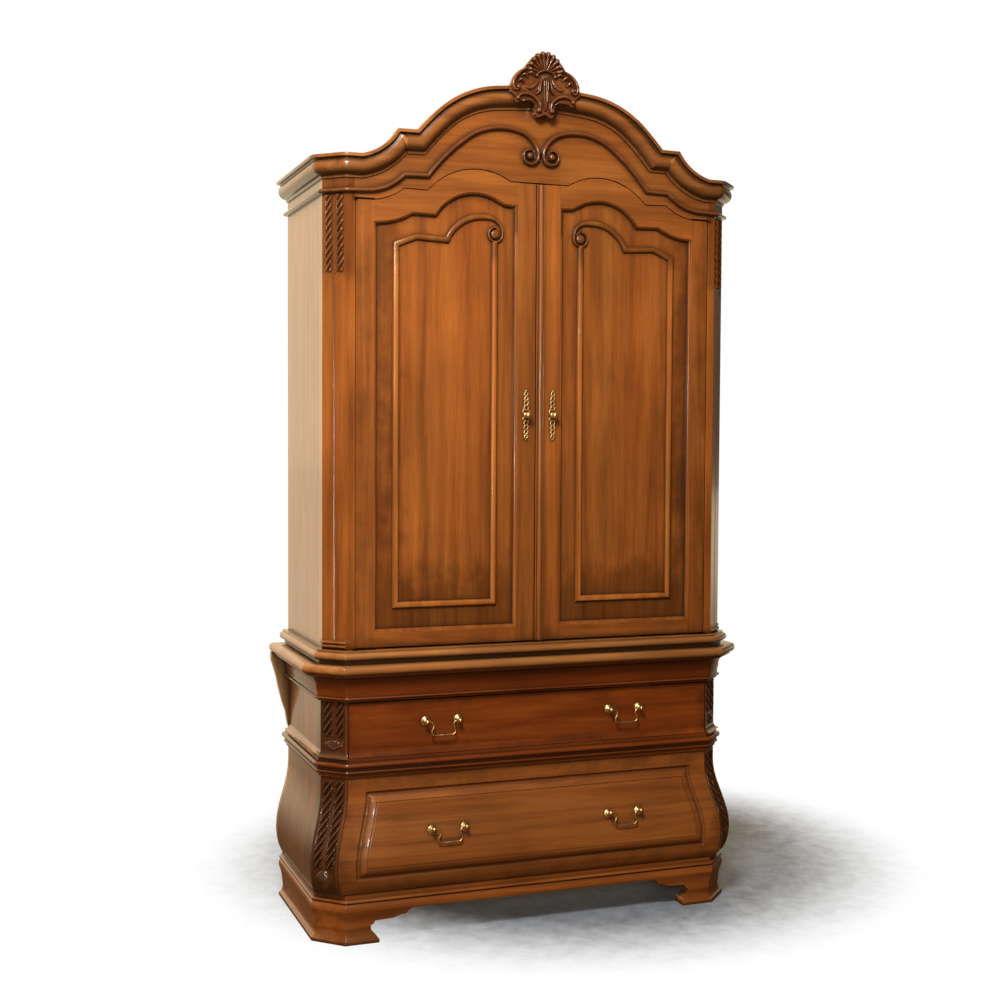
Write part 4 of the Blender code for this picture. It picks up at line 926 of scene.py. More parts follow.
def bulge(z):
    """Swell of the bombe chest at a height."""
    if z >= BULGE_TOP:
        return 0.0
    if z >= BULGE_WIDEST:
        turn = math.pi * (BULGE_TOP - z) / (BULGE_TOP - BULGE_WIDEST)
        return BULGE * (1 - math.cos(turn)) / 2
    drop = (BULGE_WIDEST - z) / BULGE_TUCK
    return BULGE * math.sqrt(1 - drop * drop)


def flare(z):
    """Cove that spreads the chest just above the middle belt."""
    low, high = FLARE_Z
    if not low <= z <= high:
        return 0.0
    drop = (high - z) / (high - low)
    return FLARE * (1 - math.sqrt(max(0.0, 1 - drop * drop)))


def chest_levels():
    """Heights that describe the chest's swell and flare."""
    tuck = between(CHEST_Z[0], BULGE_WIDEST, 12)
    shoulder = between(BULGE_WIDEST, BULGE_TOP, 24)[1:]
    cove = [FLARE_Z[0] - 0.0002, *between(*FLARE_Z, 8)]
    return tuck + shoulder + cove + [CHEST_Z[1]]


# ---------------------------------------------------------------- carving
def rope(across, along, pitch, reach):
    """Height, 0 to 1, of a twisted leaf strand; across is in half widths."""
    phase = (along + STRAND_SLOPE * across * reach) / pitch
    turn = phase - np.floor(phase)
    ridge = np.where(turn < 0.60, np.sin(np.pi * np.clip(turn / 0.60, 0, 1)) ** 0.7, 0)
    rib = np.where(turn > 0.64, 0.5 * np.sin(np.pi * np.clip((turn - 0.64) / 0.30, 0, 1)), 0)
    body = np.sqrt(np.clip(1 - across ** 2, 0, 1))
    return body ** 0.7 * np.maximum(ridge, rib)


def strands(u, z, width, low, high, size):
    """Relief of two strands in a channel that loops round below them."""
    pitch, strand_half = size
    middle = width / 2
    reach = middle - STRAND_PLACE * width
    turn_z = low + reach + strand_half
    straight = np.abs(u - middle) - reach
    radius = np.hypot(u - middle, z - turn_z)
    bent = radius - reach
    below = z < turn_z
    across = np.where(below, bent, straight) / strand_half
    lean = np.where(u > middle, -across, across)
    height = rope(lean, z, pitch, strand_half) * np.clip((z - turn_z) / 0.004 + 1, 0, 1)
    inside = np.clip((1.12 - np.abs(across)) / 0.14, 0, 1) * np.clip((high - z) / 0.002, 0, 1)
    return inside * (CARVE_RISE * height - np.where(below, 0.6, 1.0) * CARVE_DEPTH)


def groove(u, z, width, low, high):
    """Central V groove below the strands."""
    inside = (z > low) & (z < high)
    share = np.clip(1 - np.abs(u - width / 2) / GROOVE_HALF, 0, 1)
    return np.where(inside, -GROOVE_DEPTH * share, 0)


def leaf_foot(u, z, width, low, high):
    """Pointed leaf under the strands, with a midrib and side veins."""
    rise = np.clip((z - low) / (high - low), 0, 1)
    reach = width * 0.34 * np.sin(np.pi * np.clip(rise, 0.02, 1)) ** 0.7
    across = np.abs(u - width / 2) / np.maximum(reach, 1e-4)
    body = np.sqrt(np.clip(1 - across ** 2, 0, 1))
    veins = 0.8 + 0.2 * np.cos(2 * np.pi * (z + np.abs(u - width / 2)) / 0.0065)
    rib = np.clip(1 - np.abs(u - width / 2) / RIB_DEPTH, 0, 1)
    inside = (z > low) & (z < high)
    return np.where(inside, LEAF_RISE * body * veins - RIB_DEPTH * rib * body, 0)


def carved_post(section, rows, relief, columns=72):
    """Post lofted through sections; section(z) gives its plan, side corner second."""
    rings = []
    shares = np.linspace(0, 1, columns + 1)
    for z in rows:
        plan = [at(x, d, z) for x, d in section(z)]
        start, end = plan[1], plan[2]
        width = (end - start).length
        heights = relief(shares * width, np.full(columns + 1, z), width)
        heights[0] = heights[-1] = 0.0
        face = [start.lerp(end, share) + DIAGONAL * float(height)
                for share, height in zip(shares, heights)]
        rings.append([plan[0], *face, *plan[3:]])
    return lofted(rings)


def carved_rows(plain, zones, step=0.0011):
    """Rows at the plain heights, with close ones through each carved zone."""
    rows = [z for z in plain if not any(low < z < high for low, high in zones)]
    for low, high in zones:
        rows += between(low, high, round((high - low) / step))
    return sorted(set(rows))


# ---------------------------------------------------------------- upper case pieces
def upper_post_section(z):
    """Plan of the cabinet's right-hand post."""
    back_corner, front_corner = case_corners(UPPER_DEPTH, UPPER_CANT)
    return [
        (HALF_WIDTH, POST_BACK), back_corner, front_corner, (POST_INNER, UPPER_DEPTH),
        (POST_INNER, POST_REBATE), (HALF_WIDTH - POST_BACK_WIDTH, POST_BACK),
    ]


def collar(z, low, high, proud):
    """Half-round band across a canted face."""
    rise = np.clip((z - low) / (high - low), 0, 1)
    return proud * np.sin(np.pi * rise) ** 0.6


def upper_relief(u, z, width):
    """Carving of the cabinet's canted face."""
    carved = strands(u, z, width, *UPPER_STRANDS_Z, UPPER_STRAND)
    carved += groove(u, z, width, *UPPER_GROOVE_Z)
    for place in COLLARS:
        carved += collar(z, *place)
    return carved


def make_upper_case():
    """Sides, posts and moulded base of the cabinet."""
    side_x = (HALF_WIDTH - SIDE_THICKNESS, HALF_WIDTH)
    side = block(side_x, (0.0, POST_BACK - GAP), UPPER_Z)
    show_pair("cabinet_side_panel", side, ["cabinet_side"], seed=1, bevel=0.0006)

    rows = carved_rows([UPPER_Z[0], 0.799, 0.801, 1.966, UPPER_Z[1]], UPPER_ZONES)
    post = carved_post(upper_post_section, rows, upper_relief)
    show_pair("carved_cabinet_post", post, ["cabinet_post"], seed=3, crease=40,
              gloss=0.20, edges="cabinet post", wear=CARVED_WEAR_AND_GLINT)

    base = moulded_slab(UPPER_DEPTH, UPPER_CANT, CABINET_BASE_PROFILE)
    for side_sign in (-1, 1):
        base = cut(base, hinge_room("lower", side_sign))
    show_wood("moulded_cabinet_base", base, ["cabinet_base"], "tan", "X", 5, glaze=1.2)


def hinge_room(level, side):
    """Room for both leaves of one knife hinge."""
    inner, back, reach = HINGE_ROOM
    x_range = sorted((side * inner, side * (POST_INNER + 0.01)))
    middle = HINGE_Z[level]
    return block(x_range, (back, UPPER_DEPTH + 0.03), (middle - reach, middle + reach))


def door_top_points(outer_x):
    """Upper edge of the doors from their level middle stretch out to outer_x."""
    return path_points(DOOR_TOP + [(outer_x, DOOR_TOP_OUTER)])


def make_pediment():
    """Board above the doors, with the arched lower edge and the bonnet top."""
    outer = POST_INNER - GAP
    top = [point - Vector((0, PEDIMENT_DROP)) for point in path_points(CROWN_TOP)]
    top.append(Vector((outer, UPPER_Z[1])))
    bottom = [point + Vector((0, HEADER_GAP)) for point in door_top_points(outer)]
    right = top + bottom[::-1]
    outline = right + flipped(right[1:])
    board = upright_board([outline], PEDIMENT_D)
    for side in (-1, 1):
        board = cut(board, hinge_room("upper", side))
    show_wood("pediment", board, ["pediment_board"], "cherry", "X", 7, bevel=0.0009)


def make_crown():
    """Cornice moulding round the cabinet."""
    half = path_points(CROWN_TOP, 20)
    front = flipped(half[1:]) + half
    points, outs = eased(*wrap_path(UPPER_DEPTH, UPPER_CANT, CROWN_Z, front))
    crown = swept(points, outs, profile_points(CROWN_PROFILE, 10))
    show_wood("crown_moulding", crown, ["crown"], "umber", "X", 8, crease=28, glaze=1.4)


def make_scroll_beads():
    """Bead that runs along the side, up the pediment and into a volute."""
    spiral, widths = [], []
    steps = 36
    for step in range(steps, 0, -1):
        share = step / steps
        angle = math.radians(
            VOLUTE_ANGLES[0] + share * (VOLUTE_ANGLES[1] - VOLUTE_ANGLES[0]))
        radius = VOLUTE_RADII[0] + share * (VOLUTE_RADII[1] - VOLUTE_RADII[0])
        spiral.append(Vector(VOLUTE_CENTRE) + Vector((math.cos(angle), math.sin(angle))) * radius)
        widths.append(1.0 - 0.55 * share)
    front = spiral + path_points(BEAD_TOP, 18)
    (side_x, side_d), (front_x, front_d) = case_corners(UPPER_DEPTH, UPPER_CANT)
    points = [at(point.x, front_d, point.y) for point in front]
    points += [at(front_x, front_d, BEAD_Z), at(side_x, side_d, BEAD_Z), at(side_x, 0, BEAD_Z)]
    points, outs = eased(points, [FORWARDS] * len(front) + [DIAGONAL, RIGHTWARDS])
    widths += [1.0] * (len(points) - len(widths))
    proud, tall = BEAD_SIZE
    profile = [(GAP, 0.0), (0.0028, 0.0)]
    for turn in between(0.0, math.pi, 12):
        profile.append((0.0035 + (proud - 0.0035) * math.sin(turn),
                        tall / 2 - tall / 2 * math.cos(turn)))
    profile += [(0.0028, tall), (GAP, tall)]
    bead = swept(points, outs, profile, widths=widths)
    button = [(0.0, 0.0150)]
    button += [(VOLUTE_EYE * math.sin(turn), 0.0035 + 0.0115 * math.cos(turn))
               for turn in between(0.15, math.pi / 2, 8)]
    button += [(VOLUTE_EYE, 0.0), (0.0, 0.0)]
    eye = facing(turned(button), VOLUTE_CENTRE[0], UPPER_DEPTH + GAP, VOLUTE_CENTRE[1])
    show_pair("carved_scroll_bead", joined([bead, eye]), ["scroll_bead"], seed=9, grain="X",
              tone="glazed", crease=50, gloss=0.22)


def lobe(points, widths, rises, ground=CREST_D[1] - 0.002, steps=10):
    """Carved ridge along (x, z) points that stands on the crest's ground."""
    curve = smooth_path([Vector((*point, width, rise))
                         for point, width, rise in zip(points, widths, rises)], 5)
    rings = []
    for index, entry in enumerate(curve):
        before = curve[max(index - 1, 0)]
        after = curve[min(index + 1, len(curve) - 1)]
        tangent = Vector((after[0] - before[0], after[1] - before[1])).normalized()
        left = Vector((-tangent.y, tangent.x))
        ring = []
        for turn in between(0.0, math.pi, steps):
            side = left * (entry[2] * math.cos(turn))
            depth = ground + max(entry[3], 0.0005) * math.sin(turn) ** 0.8
            ring.append(at(entry[0] + side.x, min(depth, CREST_FRONT), entry[1] + side.y))
        rings.append(ring)
    return lofted(rings)


def ball(x, z, radius):
    """Round end of a carved curl."""
    dome = turned([(0.0, radius)] + [
        (radius * math.sin(turn), radius * math.cos(turn)) for turn in between(0.2, 2.2, 9)], 16)
    return facing(dome, x, CREST_FRONT - radius, z)


def make_crest():
    """Carved shell crest: ground plaque, ribbed shell, scrolls and a flame leaf."""
    half = path_points(CREST_HALF, 6)
    outline = half + flipped(half[1:-1])
    plaque = upright_board([offset_outline(outline, -0.0035)], CREST_D)
    pieces = [plaque]
    ribs = 10
    for index in range(ribs):
        lean = math.radians(-80 + 160 * index / (ribs - 1))
        direction = Vector((math.sin(lean), math.cos(lean)))
        length = 0.0555 + 0.0030 * math.cos(2 * lean)
        points = [tuple(SHELL_HUB + direction * reach)
                  for reach in (0.006, 0.020, 0.036, length - 0.009, length - 0.002, length)]
        pieces.append(lobe(points, (0.0012, 0.0028, 0.0046, 0.0066, 0.0052, 0.0008),
                           (0.004, 0.0062, 0.0080, 0.0128, 0.0085, 0.0010)))
    pieces.append(lobe([(-0.0265, 2.2865), (-0.0180, 2.2960), (0.0, 2.3010), (0.0180, 2.2960),
                        (0.0265, 2.2865)], (0.0030, 0.0034, 0.0038, 0.0034, 0.0030),
                       (0.0115, 0.0125, 0.0130, 0.0125, 0.0115)))
    right = [lobe(*row) for row in CREST_LOBES]
    right += [ball(*row) for row in CREST_BALLS]
    pieces += right
    pieces += [mirrored(mesh) for mesh in right]
    for x, rise in ((-0.0052, 0.0115), (0.0, 0.0132), (0.0052, 0.0115)):
        pieces.append(lobe([(0.3 * x, 2.196), (0.6 * x, 2.214), (x, 2.244), (1.1 * x, 2.272),
                            (1.2 * x, 2.290)],
                           (0.0010, 0.0026, 0.0034, 0.0032, 0.0012),
                           (0.006, rise - 0.001, rise, rise, 0.006)))
    show_wood("carved_shell_crest", joined(pieces), ["shell_crest"], "glazed", "Z", 11,
              crease=50, gloss=0.18)


# ---------------------------------------------------------------- doors
def clipped(outline, low, high):
    """Closed outline cut to x between low and high."""
    def half(points, limit, keep_above):
        kept = []
        for index, point in enumerate(points):
            after = points[(index + 1) % len(points)]
            inside = (point.x >= limit) == keep_above or point.x == limit
            after_inside = (after.x >= limit) == keep_above or after.x == limit
            if inside:
                kept.append(point)
            if inside != after_inside:
                share = (limit - point.x) / (after.x - point.x)
                kept.append(point.lerp(after, share))
        return kept
    return half(half(outline, low, True), high, False)


def placed(outline, side):
    """Outline of the right-hand door on either side."""
    return [Vector((side * point[0], point[1])) for point in outline]


def door_boards(side_name, side):
    """Stiles and rails of one door frame: name, grain and mesh of each."""
    meeting = DOOR_MEETING[side_name]
    edge = offset_outline(path_points(OPENING), STICKING_WIDTH - 0.0004)
    inner_x, outer_x = OPENING[0][0] - STICKING_WIDTH, OPENING[-1][0] + STICKING_WIDTH
    low_z = OPENING[0][1] - STICKING_WIDTH
    top = [Vector((meeting, DOOR_TOP_MIDDLE))] + door_top_points(DOOR_OUTER)
    whole = [Vector((meeting, DOOR_Z0))] + top + [Vector((DOOR_OUTER, DOOR_Z0))]
    arch = [point for point in edge if point.y > OPENING_TOP]
    rail = clipped(top + arch[::-1], inner_x, outer_x)
    seam = 0.00015
    boards = {
        "meeting_stile": ("Z", clipped(whole, meeting, inner_x - seam)),
        "hanging_stile": ("Z", clipped(whole, outer_x + seam, DOOR_OUTER)),
        "bottom_rail": ("X", [
            Vector((inner_x, DOOR_Z0)), Vector((inner_x, low_z)),
            Vector((outer_x, low_z)), Vector((outer_x, DOOR_Z0))]),
        "arched_rail": ("X", rail),
    }
    for board, (grain, outline) in boards.items():
        mesh = upright_board([placed(outline, side)], DOOR_D)
        if board == "hanging_stile":
            for level in HINGE_Z:
                mesh = cut(mesh, hinge_room(level, side))
        yield board, grain, mesh


def loop_profile(outline, side, profile):
    """Closed moulding round a clockwise outline from (outside, depth) points."""
    rings = []
    loops = {distance: offset_outline(outline, distance) for distance, _ in profile}
    for index in range(len(outline)):
        rings.append([at(side * loops[distance][index].x, depth, loops[distance][index].y)
                      for distance, depth in profile])
    return lofted(rings, closed=True)


def moulding_line():
    """Middle line and width of the right-hand panel moulding, from the curl's eye."""
    points, widths = [], []
    centre = Vector(CURL_CENTRE)
    start = Vector(MOULDING_ARC[0])
    first = math.atan2(start.y - centre.y, start.x - centre.x)
    steps = 44
    for step in range(steps, -1, -1):
        share = step / steps
        angle = first + share * math.radians(CURL_TURN)
        swing = min(1.0, share * CURL_TURN / CURL_SWING)
        reach = (start - centre).length
        radius = reach + (CURL_RADIUS - reach) * math.sin(swing * math.pi / 2) ** 0.85
        radius -= CURL_CLOSING * max(0.0, share - 0.33)
        width = 1.0 - CURL_THINNING * math.sin(swing * math.pi / 2)
        points.append(centre + Vector((math.cos(angle), math.sin(angle))) * radius)
        widths.append(width)
    corner = Vector(MOULDING_PATH[0])
    arc = arc_between(start, corner, MOULDING_ARC[1], 12)
    points += arc + [Vector(entry) for entry in MOULDING_PATH]
    widths += [1.0] * (len(points) - len(widths))
    return points, widths


def panel_moulding(side):
    """Applied moulding of one door, with its curl."""
    line, widths = moulding_line()
    profile = [(height, -across * MOULDING_HALF) for across, height in MOULDING_SECTION]
    points = [at(point.x, MOULDING_BACK, point.y) for point in line]
    band = swept(points, [FORWARDS] * (len(points) - 1), profile, widths=widths)
    rim, rise = CURL_EYE_RISE
    dome = [(0.0, 0.0078)]
    dome += [(CURL_EYE * math.sin(turn), rim + rise * math.cos(turn))
             for turn in between(0.15, math.pi / 2, 8)]
    dome += [(CURL_EYE + 0.0006, 0.0), (0.0, 0.0)]
    eye = facing(turned(dome), CURL_CENTRE[0], MOULDING_BACK, CURL_CENTRE[1])
    mesh = joined([band, eye])
    return mesh if side > 0 else mirrored(mesh)


def make_door(side_name, side):
    """Frame, sticking, panel and applied moulding of one door."""
    for index, (board, grain, mesh) in enumerate(door_boards(side_name, side)):
        show_wood(f"door_{board}_{side_name}", mesh, [f"door_frame_{side_name}"], "cherry",
                  grain, 12 + 5 * (side > 0) + index, bevel=0.0006, edges="door frame")
    opening = path_points(OPENING)
    sticking = loop_profile(opening, side, profile_points(STICKING_PROFILE, 6))
    show_wood(f"door_sticking_{side_name}", sticking, [f"door_frame_{side_name}"], "cherry",
              "Z", 23, crease=30, glaze=1.3, edges="sticking")
    panel = upright_board([placed(offset_outline(opening, 0.0075), side)], PANEL_D)
    show_wood(f"door_panel_board_{side_name}", panel, [f"door_panel_{side_name}"], "cherry",
              "Z", 24 + side, bevel=0.0004, edges="door panel")
    show_wood(f"applied_moulding_{side_name}", panel_moulding(side),
              [f"panel_moulding_{side_name}"], "golden", "Z", 27, crease=40, gloss=0.40,
              glaze=1.4, edges="panel moulding")


def make_astragal():
    """Half-round bead with quirks on the right door, over the meeting seam."""
    low, high = ASTRAGAL_X
    back = DOOR_D[1] + GAP
    section = profile_points([
        (low, back), (low, back + 0.0024), (low + 0.0034, back + 0.0026, 0.0003),
        (low + 0.0042, back + 0.0020), (high - 0.0042, back + 0.0020, 0.0068),
        (high - 0.0034, back + 0.0026), (high, back + 0.0024, 0.0003), (high, back)], 10)
    mesh = level_board(section, ASTRAGAL_Z)
    show_wood("astragal_bead", mesh, ["astragal"], "cherry", "Z", 29, crease=50)


def make_door_pull(side_name):
    """Pierced plate of cast scrolls, and its knob."""
    x, back = PLATE_X[side_name], DOOR_D[1] + GAP
    middle = back + 0.0016
    rods = []
    for way in (-1, 1):
        for link in range(4):
            centre_z = PLATE_Z + way * (0.0200 + 0.0125 * link)
            size = 0.0058 - 0.0005 * link
            ring = [at(x + size * math.cos(turn), middle, centre_z + 1.15 * size * math.sin(turn))
                    for turn in between(0, 2 * math.pi, 20)]
            rods.append(tube(ring, [0.0016] * len(ring), 8))
            for sign in (-1, 1):
                bump = at(x + sign * (size + 0.0010), middle, centre_z + sign * 0.0020)
                ends = [bump + Vector((0, 0, shift)) for shift in between(-0.0026, 0.0026, 6)]
                radii = [0.0019 * math.sin(math.pi * (0.5 + step) / 7) for step in range(7)]
                rods.append(tube(ends, radii, 8))
        arm = [(0.0055, 0.0040), (-0.0080, 0.0075), (-0.0095, 0.0115), (-0.0050, 0.0150),
               (0.0, 0.0150)]
        for sign in (-1, 1):
            points = smooth_path([at(x + sign * u, middle, PLATE_Z + way * v) for u, v in arm], 5)
            rods.append(tube(points, [0.0017] * len(points), 8))
        tip = between(0.0640, 0.0690, 4)
        rods.append(tube([at(x, middle, PLATE_Z + way * z) for z in tip],
                         [0.0034, 0.0036, 0.0032, 0.0022, 0.0006], 10))
    plate = joined(rods)
    for vertex in plate.vertices:
        vertex.co.y = min(vertex.co.y, BACK_Y - back)
    show_brass(f"pierced_plate_{side_name}", plate, f"pull_plate_{side_name}")
    knob = facing(turned(KNOB_PROFILE), x, back + 0.002, PLATE_Z)
    show_brass(f"brass_knob_{side_name}", knob, f"door_knob_{side_name}")


# ---------------------------------------------------------------- chest pieces
def chest_post_section(z):
    """Plan of the chest's right-hand post at a height."""
    swell, spread = bulge(z), flare(z)
    back_width, slant = CHEST_POST_REBATE
    (side_x, side_d), (front_x, front_d) = case_corners(CHEST_DEPTH, CHEST_CANT, spread)
    inner_x = CHEST_POST_INNER + swell
    return [
        (side_x + swell, CHEST_POST_BACK), (side_x + swell, side_d + swell),
        (front_x + swell, front_d + swell), (inner_x, front_d + swell),
        (inner_x, CHEST_POST_BACK + slant), (HALF_WIDTH - back_width + swell, CHEST_POST_BACK),
    ]


def chest_relief(u, z, width):
    """Carving of the chest's canted face, above and below the belt."""
    carved = 0.0
    for strand_z, leaf_z in zip(CHEST_STRANDS_Z, CHEST_LEAVES_Z):
        carved = carved + strands(u, z, width, *strand_z, CHEST_STRAND)
        carved = carved + leaf_foot(u, z, width, *leaf_z)
    return carved


def make_chest_case():
    """Sides, carved posts and slabs of the chest."""
    levels = chest_levels()
    rings = []
    for z in levels:
        outer = HALF_WIDTH + bulge(z) + flare(z)
        inner = HALF_WIDTH + bulge(z) - CHEST_SIDE_THICKNESS
        back, front = CHEST_SIDE_D
        rings.append([at(x, d, z) for x, d in
                      ((inner, back), (outer, back), (outer, front), (inner, front))])
    show_pair("chest_side_panel", lofted(rings), ["chest_side"], seed=31, crease=40,
              edges="chest side")
    post = carved_post(chest_post_section, carved_rows(levels, CHEST_ZONES), chest_relief)
    show_pair("carved_chest_post", post, ["chest_post"], seed=33, tone="shadowed", crease=40,
              gloss=0.18, wear=CARVED_WEAR_AND_GLINT + 0.001)
    slab = moulded_slab(CHEST_DEPTH, CHEST_CANT, CHEST_BASE_PROFILE)
    show_wood("moulded_chest_base", slab, ["chest_base_board"], "cherry", "X", 35)
    slab = moulded_slab(CHEST_DEPTH, CHEST_CANT, WAIST_PROFILE)
    show_wood("rounded_waist_board", slab, ["waist_board"], "tan", "X", 36, glaze=1.2)


def wrapped_moulding(profile, back):
    """Moulding round the chest from (projection, height) points."""
    points, outs = eased(*wrap_path(CHEST_DEPTH, CHEST_CANT, 0.0, back=back))
    return swept(points, outs, [(offset, -z) for offset, z in profile_points(profile, 10)])


def make_chest_mouldings():
    """Middle belt, and the waist cove with the rail behind it."""
    belt = wrapped_moulding(BELT_PROFILE, 0.0)
    show_wood("belt_moulding", belt, ["mid_belt"], "deep", "X", 37, crease=28, glaze=1.5)
    cove = wrapped_moulding(COVE_PROFILE, CHEST_SIDE_D[0])
    half, low, high = COVE_RAIL
    rail = block((-half, half), (LOWER_DRAWER_BACK, CHEST_DEPTH + 0.003), (low, high))
    show_wood("cove_moulding", joined([cove, rail]), ["waist_cove"], "deep", "X", 38, crease=28,
              glaze=1.5)


def make_bracket_base():
    """Moulded plinth frame with bracket feet, open at the back."""
    base = moulded_slab(CHEST_DEPTH, CHEST_CANT, BRACKET_PROFILE)
    inner = HALF_WIDTH - BRACKET_WALL
    right = [(inner, -0.02), (inner, CHEST_DEPTH - CHEST_CANT - BRACKET_WALL / 2),
             (HALF_WIDTH - CHEST_CANT - BRACKET_WALL / 2, CHEST_DEPTH - BRACKET_WALL)]
    left = [(-x, d) for x, d in reversed(right)]
    base = cut(base, level_board(right + left, (-0.01, 0.117)))
    edge = path_points(APRON_EDGE, 8)
    outline = edge + flipped(edge[1:])
    gap_d = (CHEST_DEPTH - 2 * BRACKET_WALL, CHEST_DEPTH + 0.05)
    base = cut(base, upright_board([outline], gap_d))
    show_wood("bracket_foot_base", base, ["bracket_base"], "cherry", "X", 40, crease=30)


# ---------------------------------------------------------------- drawers
def make_upper_drawer_front():
    """Flat front with the coved foot that matches the posts."""
    low, high = UPPER_DRAWER_Z
    section = [(UPPER_DRAWER_BACK, low), (UPPER_DRAWER_BACK, high), (CHEST_DEPTH, high)]
    for z in reversed(between(low, FLARE_Z[1], 10)):
        section.append((CHEST_DEPTH + flare(z), z))
    rings = [[at(x, d, z) for d, z in section] for x in (-UPPER_DRAWER_HALF, UPPER_DRAWER_HALF)]
    show_wood("upper_drawer_face", lofted(rings), ["drawer_front_upper"], "deep", "X", 42,
              crease=30, bevel=0.0006, edges="upper drawer")


def panel_height(inside):
    """Height of the raised panel at a distance inside its edge."""
    if inside <= 0:
        return 0.0
    for (start, low), (end, high) in zip(PANEL_RISE, PANEL_RISE[1:]):
        if inside <= end:
            return low + (high - low) * (inside - start) / (end - start)
    return PANEL_RISE[-1][1]


def make_lower_drawer_front():
    """Bombe front with a raised panel, flat behind."""
    low, high = LOWER_DRAWER_Z
    panel_low, panel_high = PANEL_Z
    insets = [inside for inside, _ in PANEL_RISE]
    rows = between(low, panel_low, 8)[:-1] + [panel_low + inside for inside in insets]
    rows += between(panel_low + insets[-1], panel_high - insets[-1], 40)[1:-1]
    rows += [panel_high - inside for inside in reversed(insets)]
    rows += between(panel_high, high, 8)[1:]
    columns = [-PANEL_INSET, -PANEL_INSET / 2, *insets]
    rings = []
    for z in rows:
        edge = LOWER_DRAWER_HALF + bulge(z)
        from_ends = min(z - panel_low, panel_high - z)
        half_row = []
        for inside in columns:
            depth = CHEST_DEPTH + bulge(z) + panel_height(min(inside, from_ends))
            half_row.append((edge - PANEL_INSET - inside, depth))
        inner_x, inner_d = half_row[-1]
        across = [(inner_x * step / 8, inner_d) for step in range(-7, 8)]
        front = [(-x, d) for x, d in half_row] + across + half_row[::-1]
        ring = [at(x, d, z) for x, d in front]
        rings.append(ring + [at(edge, LOWER_DRAWER_BACK, z), at(-edge, LOWER_DRAWER_BACK, z)])
    show_wood("bombe_drawer_face", lofted(rings), ["drawer_front_lower"], "cherry", "X", 44,
              crease=38, gloss=0.40, edges="lower drawer")


def pull_frame(level, side):
    """Placement of a pull: x across, z out of the drawer face, y up the face."""
    z = PULL_Z[level]
    surface, tilt = CHEST_DEPTH, 0.0
    if level == "lower":
        surface += bulge(z) + PANEL_RISE[-1][1]
        step = 0.001
        tilt = math.atan((bulge(z - step) - bulge(z + step)) / (2 * step))
    place = Matrix.Translation(at(side * PULL_X[level], surface, z))
    return place @ Matrix.Rotation(math.radians(90) - tilt, 4, "X")


def make_pull(level, side_name, side):
    """Swan-necked bail on two posts with stepped rosettes."""
    place = pull_frame(level, side)
    for end_name, end in (("a", -1), ("b", 1)):
        post = turned(PULL_POST_PROFILE, 24)
        post.transform(place @ Matrix.Translation((end * POST_SPACING / 2, 0, 0)))
        ending = f"{level}_{side_name}_{end_name}"
        show_brass(f"rosette_post_{ending}", post, f"pull_post_{ending}")
    half = [Vector((x, 0, z)) for x, z in BAIL_HALF]
    line = [Vector((-point.x, 0, point.z)) for point in half] + half[::-1]
    line = smooth_path(line, 5)
    hang = place @ Vector((0, 0, HEAD_REACH))
    radii = []
    for point in line:
        middle = math.exp(-(point.x / 0.011) ** 2)
        neck = math.exp(-((abs(point.x) - 0.030) / 0.006) ** 2)
        radii.append(BAIL_RADIUS * (0.86 + 0.42 * middle * (point.z < -0.03) + 0.18 * neck))
    bail = tube([hang + point for point in line], radii, 14)
    show_brass(f"swan_bail_{level}_{side_name}", bail, f"bail_{level}_{side_name}")


# ---------------------------------------------------------------- kept CAD pieces
def finish_kept_nodes():
    """Procedural materials for the CAD nodes that stay as they are."""
    inside = {
        "cabinet_back": "Z", "cabinet_top": "X", "shelf_lower": "X", "shelf_upper": "X",
        "drawer_divider": "X", "drawer_box_upper": "X", "drawer_box_lower": "X",
    }
    for index, (name, grain) in enumerate(inside.items()):
        node = frame["nodes"][name]
        set_material(node, wood("inside", grain, 50 + index, 0.6, 0.50))
    # The chest back is paler wood, partly as a painted reflection like the sides' sheen.
    set_material(frame["nodes"]["chest_back"], wood("pale", "Z", 60))
    for name, node in frame["nodes"].items():
        if name.startswith("hinge_"):
            set_material(node, BRONZE)


def set_material(node, material):
    """Give a CAD node one material in every slot."""
    for slot in node.material_slots:
        slot.material = material


# ---------------------------------------------------------------- stage, lights, camera
ROOM_TINT = (1.0, 0.80, 0.52, 1)
ROOM_STRENGTH = 1.3              # of the white floor for light that the camera doesn't see
BOUNCE = shade(100, 68, 40)      # the floor's colour for that light
WHITE = (1, 1, 1, 1)
FLOOR_FADE = (0.66, 1.18)        # distance where the grey starts and ends to fade
FLOOR_GLOW = (0.8, 5.0)          # y where the unseen glow starts and is full
BRIGHT_SIDE = (-0.36, 0.92, 0.16)
# Lamps: name, place, target, width, power and colour.
LAMPS = [
    ("key", (-1.2, -2.1, 3.05), (0, 0, 1.5), 0.7, 92, (1.0, 0.91, 0.77)),
    ("flash", (-1.8, -3.9, 1.6), (0, 0, 1.0), 0.4, 48, (1.0, 0.89, 0.72)),
]
LENS = 52.0
CAMERA_PLACE = (-1.4723, -3.8406, 1.324)
CAMERA_TURN = (20.578, 2.418, 0.304)        # yaw to the right, pitch down and roll


